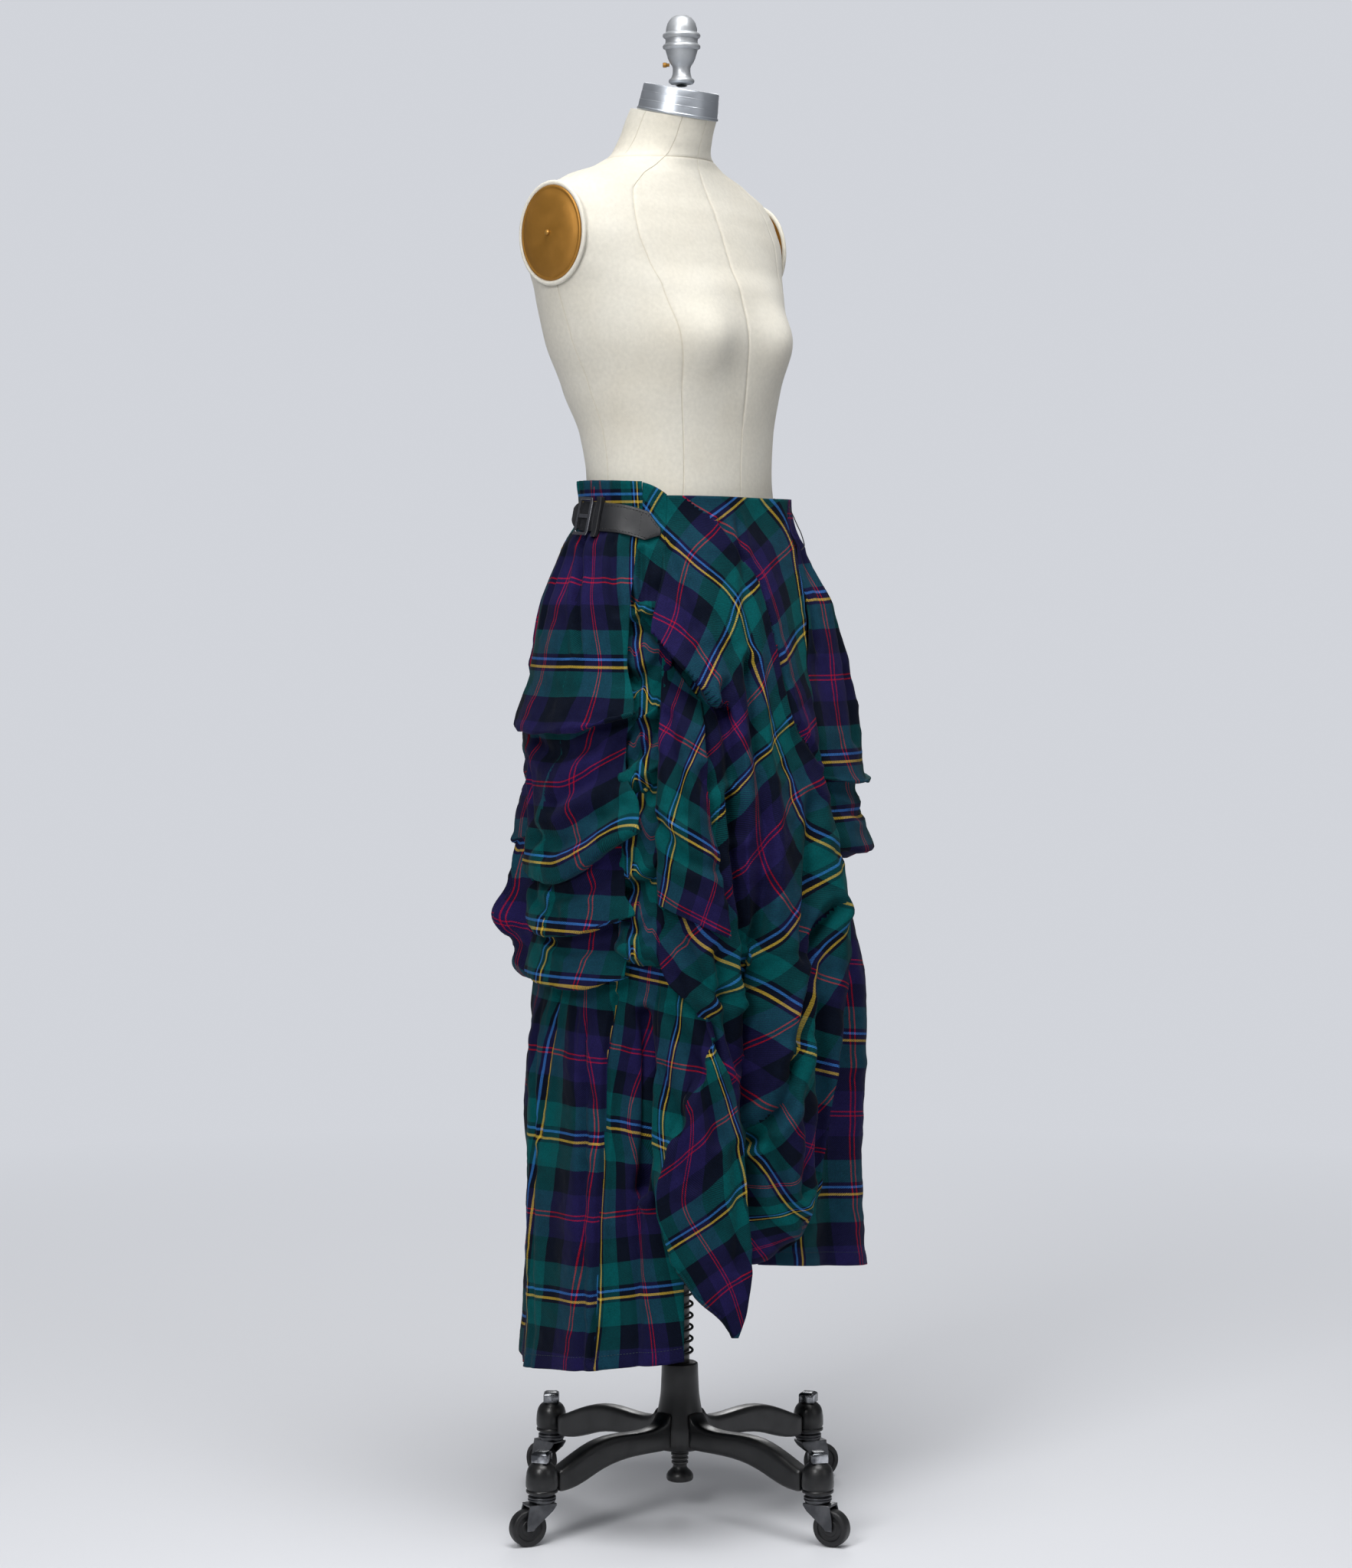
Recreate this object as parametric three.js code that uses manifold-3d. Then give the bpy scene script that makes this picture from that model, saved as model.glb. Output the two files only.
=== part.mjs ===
// Tartan skirt on a limbless dress form with a castor stand.
// Millimetres, +Z up, the figure faces -Y and its right side is on -X.
// Directions round the pole are angles from +X, counter-clockwise, in degrees.
import * as THREE from 'three';
import { mergeVertices } from 'three/addons/utils/BufferGeometryUtils.js';
import Module from 'manifold-3d';

const wasm = await Module();
wasm.setup();

const group = new THREE.Group();
const radians = THREE.MathUtils.degToRad;

// ---------------------------------------------------------------- materials
const finish = (color, roughness, metalness) =>
  new THREE.MeshStandardMaterial({ color, roughness, metalness, side: THREE.DoubleSide });
const TARTAN = finish(0x14324a, 0.9, 0);
const LEATHER = finish(0x17181b, 0.5, 0);
const CANVAS = finish(0xe8e2d3, 0.85, 0);
const BRASS = finish(0x8a6226, 0.35, 1);
const CAST_ALUMINIUM = finish(0xb4b9bc, 0.35, 1);
const BLACK_IRON = finish(0x1a1c1f, 0.45, 0.3);
const STEEL = finish(0x8b8e91, 0.35, 1);
const CHROME = finish(0xd0d4d8, 0.12, 1);
const RUBBER = finish(0x1b1c1e, 0.6, 0);

function add(name, geometry, material, parent = group) {
  const mesh = new THREE.Mesh(geometry, material);
  mesh.name = name;
  parent.add(mesh);
  return mesh;
}

// ------------------------------------------------------------ shared helpers
// Cardinal spline through a row of numbers, softer than Catmull-Rom so that it hardly overshoots.
const SPLINE_PULL = 0.38;

function splineThrough(values, at) {
  const last = values.length - 1;
  const k = Math.min(Math.floor(at), last - 1);
  const t = at - k;
  const a = values[k];
  const b = values[k + 1];
  const slopeA = k > 0 ? SPLINE_PULL * (b - values[k - 1]) : b - a;
  const slopeB = k + 2 <= last ? SPLINE_PULL * (values[k + 2] - a) : b - a;
  const t2 = t * t;
  const t3 = t2 * t;
  return (2 * t3 - 3 * t2 + 1) * a + (t3 - 2 * t2 + t) * slopeA
    + (3 * t2 - 2 * t3) * b + (t3 - t2) * slopeB;
}

// Parabola through the values at the left edge, the middle and the right edge.
function across(three, u) {
  const [left, middle, right] = three;
  return left * (1 - u) * (1 - 2 * u) + 4 * middle * u * (1 - u) + right * u * (2 * u - 1);
}

// Eases from 0 at from to 1 at to, in either direction.
function smoothstep(from, to, x) {
  const t = THREE.MathUtils.clamp((x - from) / (to - from), 0, 1);
  return t * t * (3 - 2 * t);
}

// Closed solid from rings of points, each ring with the same number of points, capped at both ends.
function loft(rings) {
  const around = rings[0].length;
  const positions = [];
  const indices = [];
  rings.forEach((ring) => ring.forEach((p) => positions.push(p.x, p.y, p.z)));
  for (let i = 0; i + 1 < rings.length; i += 1) {
    for (let j = 0; j < around; j += 1) {
      const a = i * around + j;
      const b = i * around + (j + 1) % around;
      indices.push(a, b, b + around, a, b + around, a + around);
    }
  }
  const capCentre = (ring) => {
    const centre = ring.reduce((sum, p) => sum.add(p), new THREE.Vector3()).divideScalar(around);
    positions.push(centre.x, centre.y, centre.z);
    return positions.length / 3 - 1;
  };
  const bottom = capCentre(rings[0]);
  const top = capCentre(rings[rings.length - 1]);
  const topStart = (rings.length - 1) * around;
  for (let j = 0; j < around; j += 1) {
    const next = (j + 1) % around;
    indices.push(bottom, next, j, top, topStart + j, topStart + next);
  }
  const geometry = new THREE.BufferGeometry();
  geometry.setAttribute('position', new THREE.Float32BufferAttribute(positions, 3));
  geometry.setIndex(indices);
  return geometry;
}

// Closed wall from a grid of outer points and the matching grid of inner points.
function wallFromGrids(outer, inner) {
  const rows = outer.length;
  const columns = outer[0].length;
  const positions = [];
  const indices = [];
  [outer, inner].forEach((grid) => grid.forEach((row) => row.forEach((p) => positions.push(p.x, p.y, p.z))));
  const offset = rows * columns;
  const out = (i, j) => i * columns + j;
  const quad = (a, b, c, d) => indices.push(a, b, c, a, c, d);
  for (let i = 0; i + 1 < rows; i += 1) {
    for (let j = 0; j + 1 < columns; j += 1) {
      quad(out(i, j), out(i + 1, j), out(i + 1, j + 1), out(i, j + 1));
      quad(offset + out(i, j), offset + out(i, j + 1), offset + out(i + 1, j + 1), offset + out(i + 1, j));
    }
  }
  for (let i = 0; i + 1 < rows; i += 1) {
    quad(out(i, 0), offset + out(i, 0), offset + out(i + 1, 0), out(i + 1, 0));
    const last = columns - 1;
    quad(out(i + 1, last), offset + out(i + 1, last), offset + out(i, last), out(i, last));
  }
  for (let j = 0; j + 1 < columns; j += 1) {
    quad(out(0, j + 1), offset + out(0, j + 1), offset + out(0, j), out(0, j));
    const last = rows - 1;
    quad(out(last, j), offset + out(last, j), offset + out(last, j + 1), out(last, j + 1));
  }
  const geometry = new THREE.BufferGeometry();
  geometry.setAttribute('position', new THREE.Float32BufferAttribute(positions, 3));
  geometry.setIndex(indices);
  return geometry;
}

function toSolid(geometry) {
  const bare = geometry.clone();
  bare.deleteAttribute('normal');
  bare.deleteAttribute('uv');
  const merged = mergeVertices(bare, 1e-4);
  return new wasm.Manifold(new wasm.Mesh({
    numProp: 3,
    vertProperties: new Float32Array(merged.attributes.position.array),
    triVerts: new Uint32Array(merged.index.array),
  }));
}

function toGeometry(solid) {
  const mesh = solid.getMesh();
  const geometry = new THREE.BufferGeometry();
  geometry.setAttribute('position', new THREE.Float32BufferAttribute(mesh.vertProperties, 3));
  geometry.setIndex(new THREE.Uint32BufferAttribute(mesh.triVerts, 1));
  return geometry;
}

// Lathe about +Z of a profile listed from the bottom to the top as [radius, height].
function turned(profile, segments) {
  const geometry = new THREE.LatheGeometry(profile.map(([r, z]) => new THREE.Vector2(r, z)), segments);
  return geometry.rotateX(Math.PI / 2);
}

const direction = (degrees) => new THREE.Vector3(Math.cos(radians(degrees)), Math.sin(radians(degrees)), 0);

// ------------------------------------------------------------- driving sizes
const WALL = 2;
const SEAM = 0.3;
const FORM_BOTTOM = 880;
const WAIST = 1233;

// Torso sections: height, half width, front depth, back depth, centre of the section towards the back.
const TORSO_SECTIONS = [
  { z: FORM_BOTTOM, width: 158, front: 98, back: 112, lean: 0 },
  { z: 960, width: 170, front: 104, back: 122, lean: 0 },
  { z: 1035, width: 172, front: 104, back: 124, lean: 0 },
  { z: 1110, width: 162, front: 102, back: 110, lean: 0 },
  { z: 1180, width: 141, front: 96, back: 97, lean: 0 },
  { z: WAIST, width: 130, front: 93, back: 93, lean: 0 },
  { z: 1285, width: 133, front: 99, back: 99, lean: 4 },
  { z: 1340, width: 147, front: 115, back: 112, lean: 14 },
  { z: 1400, width: 167, front: 129, back: 118, lean: 25 },
  { z: 1455, width: 180, front: 125, back: 114, lean: 33 },
  { z: 1485, width: 193, front: 114, back: 108, lean: 37 },
  { z: 1515, width: 203, front: 106, back: 100, lean: 40 },
  { z: 1545, width: 197, front: 95, back: 89, lean: 41 },
  { z: 1568, width: 182, front: 82, back: 77, lean: 40 },
  { z: 1588, width: 140, front: 70, back: 67, lean: 37 },
  { z: 1603, width: 92, front: 61, back: 61, lean: 33 },
  { z: 1618, width: 62, front: 56, back: 57, lean: 28 },
  { z: 1640, width: 53, front: 54, back: 53, lean: 20 },
  { z: 1668, width: 50, front: 50, back: 50, lean: 8 },
];
const ARM_FLAT_X = 184;
const BUST = { x: 72, z: 1396, out: 22, spreadX: 42, spreadZ: 44 };
const TORSO_SIDES = 32;

function torsoSection(z) {
  const last = TORSO_SECTIONS.length - 1;
  let k = 0;
  while (k < last - 1 && TORSO_SECTIONS[k + 1].z < z) k += 1;
  const lower = TORSO_SECTIONS[k];
  const upper = TORSO_SECTIONS[k + 1];
  const at = k + (z - lower.z) / (upper.z - lower.z);
  const column = (name) => splineThrough(TORSO_SECTIONS.map((row) => row[name]), at);
  return { width: column('width'), front: column('front'), back: column('back'), lean: column('lean') };
}

function formRadius(degrees, z) {
  const section = torsoSection(Math.max(z, FORM_BOTTOM));
  const depth = Math.sin(radians(degrees)) < 0 ? section.front : section.back;
  return 1 / Math.hypot(Math.cos(radians(degrees)) / section.width, Math.sin(radians(degrees)) / depth);
}

// --------------------------------------------------------------- dress form
const NECK_TILT = 12;
const NECK_PLANE = { y: 4, z: 1664 };

function torsoPoint(degrees, z) {
  const section = torsoSection(z);
  const cos = Math.cos(radians(degrees));
  const sin = Math.sin(radians(degrees));
  const depth = sin < 0 ? section.front : section.back;
  let x = section.width * cos;
  let y = section.lean + depth * sin;
  if (sin < 0) {
    const aside = (Math.abs(x) - BUST.x) / BUST.spreadX;
    const above = (z - BUST.z) / BUST.spreadZ;
    const bump = Math.exp(-(aside ** 2) - (above ** 2));
    y -= BUST.out * bump * -sin;
  }
  x = THREE.MathUtils.clamp(x, -ARM_FLAT_X, ARM_FLAT_X);
  return new THREE.Vector3(x, y, z);
}

// The neck leans forward: heights above the shoulders shear into the tilted plane of the neck cap.
function leanNeck(point) {
  const share = smoothstep(1600, 1668, point.z);
  const drop = Math.tan(radians(NECK_TILT)) * (point.y - NECK_PLANE.y) * share;
  return new THREE.Vector3(point.x, point.y, point.z + drop);
}

const TORSO_HEIGHTS = [880, 960, 1035, 1110, 1175, 1210, 1240, 1285, 1330, 1365, 1395, 1425, 1455, 1485,
  1515, 1545, 1566, 1582, 1596, 1612, 1636, 1664];
const torsoRings = TORSO_HEIGHTS.map((z) => {
  const ring = [];
  for (let j = 0; j < TORSO_SIDES; j += 1) {
    ring.push(leanNeck(torsoPoint((360 * j) / TORSO_SIDES, z)));
  }
  return ring;
});
add('form_torso', loft(torsoRings), CANVAS);

// Neck cap: a shallow aluminium cup on the tilted neck.
const CAP_RADIUS = 47;
const CAP_HEIGHT = 32;
const neckFrame = new THREE.Group();
neckFrame.position.set(0, NECK_PLANE.y, NECK_PLANE.z + SEAM);
neckFrame.rotation.x = radians(NECK_TILT);
group.add(neckFrame);
add('neck_cap', turned([[0, 0], [CAP_RADIUS + 1.5, 0], [CAP_RADIUS, 4], [CAP_RADIUS - 1.5, CAP_HEIGHT - 2],
  [CAP_RADIUS - 3.5, CAP_HEIGHT], [0, CAP_HEIGHT]], 24), CAST_ALUMINIUM, neckFrame);

// Finial: upright, its flange sits on a small ball that the tilted cap carries.
const FINIAL_FOOT_Z = 1700;
const FINIAL_Y = -2.6;
const FINIAL_PROFILE = [[0, 0], [13, 0], [15.1, 2.5], [15, 5], [12, 8], [10.4, 13], [10.4, 19], [13.8, 25],
  [17, 33], [19, 40], [22.3, 44], [19.4, 47.5], [19.3, 53], [22.3, 57], [18.6, 60.5], [17.8, 67], [14.5, 74.5],
  [9, 79.5], [0, 81]];
const BALL = { radius: 7, half: 1.5 };
add('finial', turned(FINIAL_PROFILE, 16).translate(0, FINIAL_Y, FINIAL_FOOT_Z), CAST_ALUMINIUM);
add('finial_ball', new THREE.SphereGeometry(BALL.radius, 8, 4).rotateX(Math.PI / 2)
  .scale(1, 1, BALL.half / BALL.radius).translate(0, FINIAL_Y, FINIAL_FOOT_Z - BALL.half - SEAM), STEEL);

const THUMBSCREW = { z: FINIAL_FOOT_Z + 22.5, toward: 130, from: 14.2 };
function thumbscrewGeometry() {
  const profile = [[0, 0], [2, 0], [2, 3], [2.9, 3.4], [3, 7], [2.6, 8], [0, 8]];
  return turned(profile, 10).rotateY(Math.PI / 2).translate(THUMBSCREW.from, 0, 0)
    .rotateZ(radians(THUMBSCREW.toward)).translate(0, FINIAL_Y, THUMBSCREW.z);
}
add('thumbscrew', thumbscrewGeometry(), BRASS);

// Arm plates: shallow brass ovals with a small screw in the middle.
const ARM_PLATE = { halfWidth: 46, halfHeight: 55, thickness: 4, dome: 4, y: 37, z: 1515 };
function armPlateGeometry(side) {
  const { halfWidth, thickness, dome } = ARM_PLATE;
  const profile = [[0, 0], [halfWidth - 1.5, 0], [halfWidth, 1.2], [halfWidth - 1, thickness - 1],
    [halfWidth * 0.75, thickness + dome * 0.45], [halfWidth * 0.4, thickness + dome * 0.85],
    [0, thickness + dome]];
  const plate = turned(profile, 24).scale(1, ARM_PLATE.halfHeight / halfWidth, 1);
  plate.rotateY(Math.PI / 2).rotateX(Math.PI / 2);
  if (side < 0) plate.rotateZ(Math.PI);
  return plate.translate(side * (ARM_FLAT_X + SEAM), ARM_PLATE.y, ARM_PLATE.z);
}
function plateScrewGeometry(side) {
  const screw = turned([[0, 0], [3.4, 0], [3, 1.6], [1.6, 2.6], [0, 2.8]], 10).rotateY(Math.PI / 2);
  if (side < 0) screw.rotateZ(Math.PI);
  const seat = ARM_FLAT_X + SEAM + ARM_PLATE.thickness + ARM_PLATE.dome + SEAM;
  return screw.translate(side * seat, ARM_PLATE.y, ARM_PLATE.z);
}
[['right', -1], ['left', 1]].forEach(([name, side]) => {
  add(`arm_plate_${name}`, armPlateGeometry(side), BRASS);
  add(`plate_screw_${name}`, plateScrewGeometry(side), BRASS);
});

// -------------------------------------------------------------------- skirt
// Outer radius of the skirt's base shape, from the pole, in eight directions at each height.
const BASE_DIRECTIONS = [0, 50, 90, 130, 180, 220, 270, 310];
const BASE_SHAPE = [
  { z: 1240, radii: [140, 114, 100, 113, 139, 119, 104, 128] },
  { z: 1213, radii: [144, 118, 102, 116, 141, 121, 108, 131] },
  { z: 1190, radii: [148, 122, 104, 118, 142, 124, 112, 134] },
  { z: 1154, radii: [165, 142, 122, 136, 162, 138, 124, 145] },
  { z: 1084, radii: [188, 168, 150, 160, 184, 158, 144, 175] },
  { z: 1011, radii: [202, 186, 170, 172, 194, 175, 161, 192] },
  { z: 947, radii: [210, 196, 182, 181, 198, 187, 174, 205] },
  { z: 850, radii: [216, 204, 192, 185, 202, 198, 189, 213] },
  { z: 700, radii: [222, 210, 198, 189, 205, 207, 203, 220] },
  { z: 546, radii: [224, 210, 198, 188, 204, 206, 205, 222] },
  { z: 400, radii: [220, 205, 192, 183, 202, 205, 202, 215] },
  { z: 180, radii: [222, 205, 190, 190, 204, 205, 200, 222] },
];

function baseRadius(degrees, z) {
  const turn = ((degrees % 360) + 360) % 360;
  const heights = BASE_SHAPE.map((row) => row.z);
  const clamped = THREE.MathUtils.clamp(z, heights[heights.length - 1], heights[0]);
  let k = 0;
  while (k < heights.length - 2 && heights[k + 1] > clamped) k += 1;
  const at = k + (heights[k] - clamped) / (heights[k] - heights[k + 1]);
  const ring = BASE_DIRECTIONS.map((_, j) => splineThrough(BASE_SHAPE.map((row) => row.radii[j]), at));
  const count = ring.length;
  let j = 0;
  while (j < count - 1 && BASE_DIRECTIONS[j + 1] <= turn) j += 1;
  const next = j + 1 < count ? BASE_DIRECTIONS[j + 1] : 360;
  const share = (turn - BASE_DIRECTIONS[j]) / (next - BASE_DIRECTIONS[j]);
  const around = [-1, 0, 1, 2].map((step) => ring[(j + step + count) % count]);
  return splineThrough(around, 1 + share);
}

// The cloth never comes nearer to the form than this at its outer face.
const clothRadius = (degrees, z, out) => Math.max(
  baseRadius(degrees, z) + out,
  formRadius(degrees, z) + WALL + 0.5,
);

// A cloth panel between two directions. Each row of its table is a fold or a section:
// z and out (distance outside the base shape) at the left edge, the middle and the right edge.
// Its left edge is at the direction from and its right edge at the direction to. Either can be a seam,
// a table of directions by height. ripple adds pleats or gathers.
function edgeDirection(edge, z) {
  if (typeof edge === 'number') return edge;
  const last = edge.length - 1;
  let k = 0;
  while (k < last - 1 && edge[k + 1].z > z) k += 1;
  const share = THREE.MathUtils.clamp((edge[k].z - z) / (edge[k].z - edge[k + 1].z), 0, 1);
  return splineThrough(edge.map((stop) => stop.at), k + share);
}

function panelPoint(panel, u, at) {
  const { rows } = panel;
  const column = (name, k) => splineThrough(rows.map((row) => row[name][k]), at);
  const z = across([column('z', 0), column('z', 1), column('z', 2)], u);
  const out = across([column('out', 0), column('out', 1), column('out', 2)], u);
  const edgeFrom = edgeDirection(panel.from, z) + SEAM_TURN;
  const edgeTo = edgeDirection(panel.to, z) - SEAM_TURN;
  const degrees = edgeFrom + (edgeTo - edgeFrom) * u;
  const ripple = panel.ripple ? panel.ripple(u, z, at, degrees) : 0;
  return { degrees, z, radius: clothRadius(degrees, z, out + ripple) };
}

const toVector = (p) => direction(p.degrees).multiplyScalar(p.radius).setZ(p.z);

// The inner face lies one wall inside the outer face, square to the fold's profile.
function innerPoint(panel, u, at, wall) {
  const step = 0.02;
  const last = panel.rows.length - 1;
  const before = panelPoint(panel, u, Math.max(at - step, 0));
  const after = panelPoint(panel, u, Math.min(at + step, last));
  const here = panelPoint(panel, u, at);
  const down = before.z - after.z;
  const outward = after.radius - before.radius;
  const length = Math.hypot(down, outward);
  return {
    degrees: here.degrees,
    radius: here.radius - (wall * down) / length,
    z: here.z - (wall * outward) / length,
  };
}

function panelGeometry(panel) {
  const outer = [];
  const inner = [];
  const stops = [];
  panel.rows.forEach((row, k) => {
    if (k === 0) {
      stops.push(0);
      return;
    }
    const steps = row.steps ?? 1;
    for (let i = 1; i <= steps; i += 1) stops.push(k - 1 + i / steps);
  });
  stops.forEach((at) => {
    const outerRow = [];
    const innerRow = [];
    for (let j = 0; j <= panel.columns; j += 1) {
      const u = j / panel.columns;
      outerRow.push(toVector(panelPoint(panel, u, at)));
      innerRow.push(toVector(innerPoint(panel, u, at, WALL)));
    }
    outer.push(outerRow);
    inner.push(innerRow);
  });
  return wallFromGrids(outer, inner);
}

// Half a seam in degrees at the skirt's usual radius.
const SEAM_TURN = 0.12;
const RUCHE_SEAM = 201;
// The seam between the back and the right side swings forward where the back bulges.
const RIGHT_BACK_SEAM = [
  { z: 1232, at: 146 },
  { z: 1000, at: 146 },
  { z: 900, at: 149 },
  { z: 830, at: 154 },
  { z: 720, at: 156 },
  { z: 650, at: 154 },
];
const RIGHT_FRONT_SEAM = 213;
const LEFT_BACK_SEAM = 345;
// The front's left seam wanders: it starts near the side of the waist and swings forward at the hem.
const LEFT_FRONT_SEAM = [
  { z: 1215, at: 302 },
  { z: 1150, at: 298 },
  { z: 1084, at: 290 },
  { z: 1010, at: 283 },
  { z: 906, at: 281 },
  { z: 810, at: 284 },
  { z: 703, at: 286 },
  { z: 605, at: 281 },
  { z: 490, at: 276 },
  { z: 402, at: 272 },
  { z: 364, at: 267 },
  { z: 330, at: 264 },
];
const FRONT_RIGHT_EDGE = [
  { z: 1215, at: RIGHT_FRONT_SEAM },
  { z: 650, at: RIGHT_FRONT_SEAM },
  { z: 600, at: RIGHT_FRONT_SEAM },
  { z: 450, at: 219 },
  { z: 330, at: 222 },
];

// Right side panel: paper-bag top, then four puffs that droop in the middle.
const SIDE_RIGHT = {
  from: RIGHT_BACK_SEAM,
  to: RUCHE_SEAM,
  columns: 12,
  rows: [
    { z: [1232, 1232, 1230], out: [2, 2, 2] },
    { z: [1214, 1214, 1213], out: [0, 0, 0], steps: 1 },
    { z: [1190, 1190, 1190], out: [-1, -1, -1], steps: 1 },
    { z: [1166, 1166, 1166], out: [0, 0, 0], steps: 1 },
    { z: [1100, 1095, 1100], out: [1, 4, 0], steps: 2 },
    { z: [1010, 1000, 1012], out: [2, 6, 0], steps: 3 },
    { z: [960, 952, 972], out: [9, 11, 2], steps: 2 },
    { z: [948, 943, 963], out: [9, 11, 2], steps: 1 },
    { z: [949, 943, 962], out: [2, 2, -5], steps: 1 },
    { z: [935, 928, 950], out: [-3, -3, -8], steps: 1 },
    { z: [890, 880, 905], out: [0, 7, -4], steps: 2 },
    { z: [825, 805, 860], out: [4, 14, -2], steps: 2 },
    { z: [792, 776, 838], out: [3, 12, -3], steps: 2 },
    { z: [789, 773, 835], out: [-4, 3, -9], steps: 1 },
    { z: [780, 766, 822], out: [-7, -2, -11], steps: 1 },
    { z: [752, 738, 775], out: [0, 8, -6], steps: 1 },
    { z: [724, 712, 736], out: [-1, 8, -6], steps: 2 },
    { z: [722, 709, 733], out: [-7, 0, -11], steps: 1 },
    { z: [712, 700, 722], out: [-9, -4, -12], steps: 1 },
    { z: [685, 676, 690], out: [-2, 4, -6], steps: 1 },
    { z: [660, 651, 662], out: [-3, 4, -6], steps: 2 },
    { z: [658, 648, 660], out: [-9, -4, -11], steps: 1 },
    { z: [657, 648, 659], out: [-14, -12, -15], steps: 1 },
  ],
  ripple: (u, z) => {
    const gathers = 2.2 * Math.cos(u * Math.PI * 16) * smoothstep(1208, 1230, z);
    const underStrap = smoothstep(1040, 1130, z) * smoothstep(1168, 1140, z);
    const belowStrap = 1.8 * Math.cos(u * Math.PI * 10) * underStrap;
    const dartHeights = smoothstep(1150, 1120, z) * smoothstep(985, 1060, z);
    const dart = -5 * Math.exp(-(((u - 0.62) / 0.07) ** 2)) * dartHeights;
    return gathers + belowStrap + dart;
  },
};

// Ruched strip between the side and the front: short deep gathers.
const RUCHE_RIGHT = {
  from: RUCHE_SEAM,
  to: RIGHT_FRONT_SEAM,
  columns: 4,
  rows: [
    { z: [1218, 1216, 1214], out: [1, 1, 1] },
    { z: [1190, 1190, 1190], out: [-1, -1, -1], steps: 1 },
    { z: [1150, 1150, 1150], out: [1, 1, 1], steps: 1 },
    { z: [1100, 1100, 1100], out: [0, 3, 2], steps: 2 },
    { z: [1076, 1078, 1080], out: [0, 7, 2], steps: 1 },
    { z: [1064, 1064, 1066], out: [-12, -14, -10], steps: 1 },
    { z: [1040, 1040, 1040], out: [-2, 6, 0], steps: 1 },
    { z: [1000, 1000, 1000], out: [-4, 4, -2], steps: 2 },
    { z: [960, 958, 962], out: [-2, 8, 0], steps: 2 },
    { z: [944, 942, 948], out: [-12, -8, -8], steps: 1 },
    { z: [915, 915, 915], out: [-6, 4, -4], steps: 1 },
    { z: [893, 890, 893], out: [-4, 9, -2], steps: 1 },
    { z: [876, 874, 878], out: [-16, -14, -12], steps: 1 },
    { z: [850, 850, 850], out: [-5, 5, -4], steps: 1 },
    { z: [800, 800, 800], out: [-4, 8, -3], steps: 2 },
    { z: [783, 780, 783], out: [-6, 8, -5], steps: 1 },
    { z: [770, 768, 772], out: [-18, -16, -14], steps: 1 },
    { z: [745, 745, 745], out: [-7, 4, -6], steps: 1 },
    { z: [700, 700, 700], out: [-5, 9, -4], steps: 2 },
    { z: [688, 684, 688], out: [-7, 7, -6], steps: 1 },
    { z: [676, 673, 676], out: [-16, -14, -15], steps: 1 },
  ],
};

// The front folds over in a lip that slants down from the right seam, and the cowl hangs from under it.
const LIP = { z: 1057, slope: 3.6, out: 17, tuck: 8, reach: 30, end: 238 };
function frontLip(degrees, z) {
  const above = z - (LIP.z - LIP.slope * (degrees - RIGHT_FRONT_SEAM));
  const hang = LIP.out * Math.exp(-Math.max(above, 0) / LIP.reach);
  const under = -LIP.tuck * smoothstep(-60, -14, above);
  const share = smoothstep(-13, 0, above);
  return (hang * share + under * (1 - share)) * smoothstep(LIP.end, LIP.end - 7, degrees);
}

// Front: cut on the bias, falls from the waist and balloons back under at the hem.
const FRONT_PANEL = {
  from: FRONT_RIGHT_EDGE,
  to: LEFT_FRONT_SEAM,
  columns: 14,
  rows: [
    { z: [1214, 1213, 1211], out: [0, 0, 2] },
    { z: [1190, 1190, 1190], out: [-1, -1, 0], steps: 1 },
    { z: [1150, 1150, 1150], out: [1, 1, 1], steps: 1 },
    { z: [1090, 1090, 1090], out: [1, 3, 0], steps: 2 },
    { z: [970, 970, 970], out: [-5, 5, 0], steps: 10 },
    { z: [906, 906, 906], out: [-8, 6, 2], steps: 2 },
    { z: [810, 810, 810], out: [-10, 8, 8], steps: 3 },
    { z: [703, 703, 703], out: [-10, 4, 8], steps: 3 },
    { z: [605, 605, 605], out: [-4, 3, 7], steps: 3 },
    { z: [500, 490, 490], out: [-2, 6, 6], steps: 3 },
    { z: [420, 402, 410], out: [-1, 8, 5], steps: 2 },
    { z: [370, 346, 372], out: [0, 3, 2], steps: 2 },
    { z: [352, 330, 352], out: [0, -7, -8], steps: 1 },
    { z: [362, 342, 362], out: [0, -15, -15], steps: 1 },
  ],
  ripple: (u, z, at, degrees) => {
    const spread = smoothstep(1000, 700, z);
    const folds = 9 * Math.sin(radians(degrees * 13 + (z - 700) * 0.25)) * spread;
    const channel = -26 * Math.exp(-(((degrees - 245 - (z - 600) * 0.012) / 4) ** 2))
      * smoothstep(760, 640, z) * smoothstep(340, 420, z);
    const inside = smoothstep(0, 0.12, u) * smoothstep(1, 0.9, u);
    return (folds + channel) * inside * smoothstep(335, 380, z) + frontLip(degrees, z);
  },
};

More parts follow.
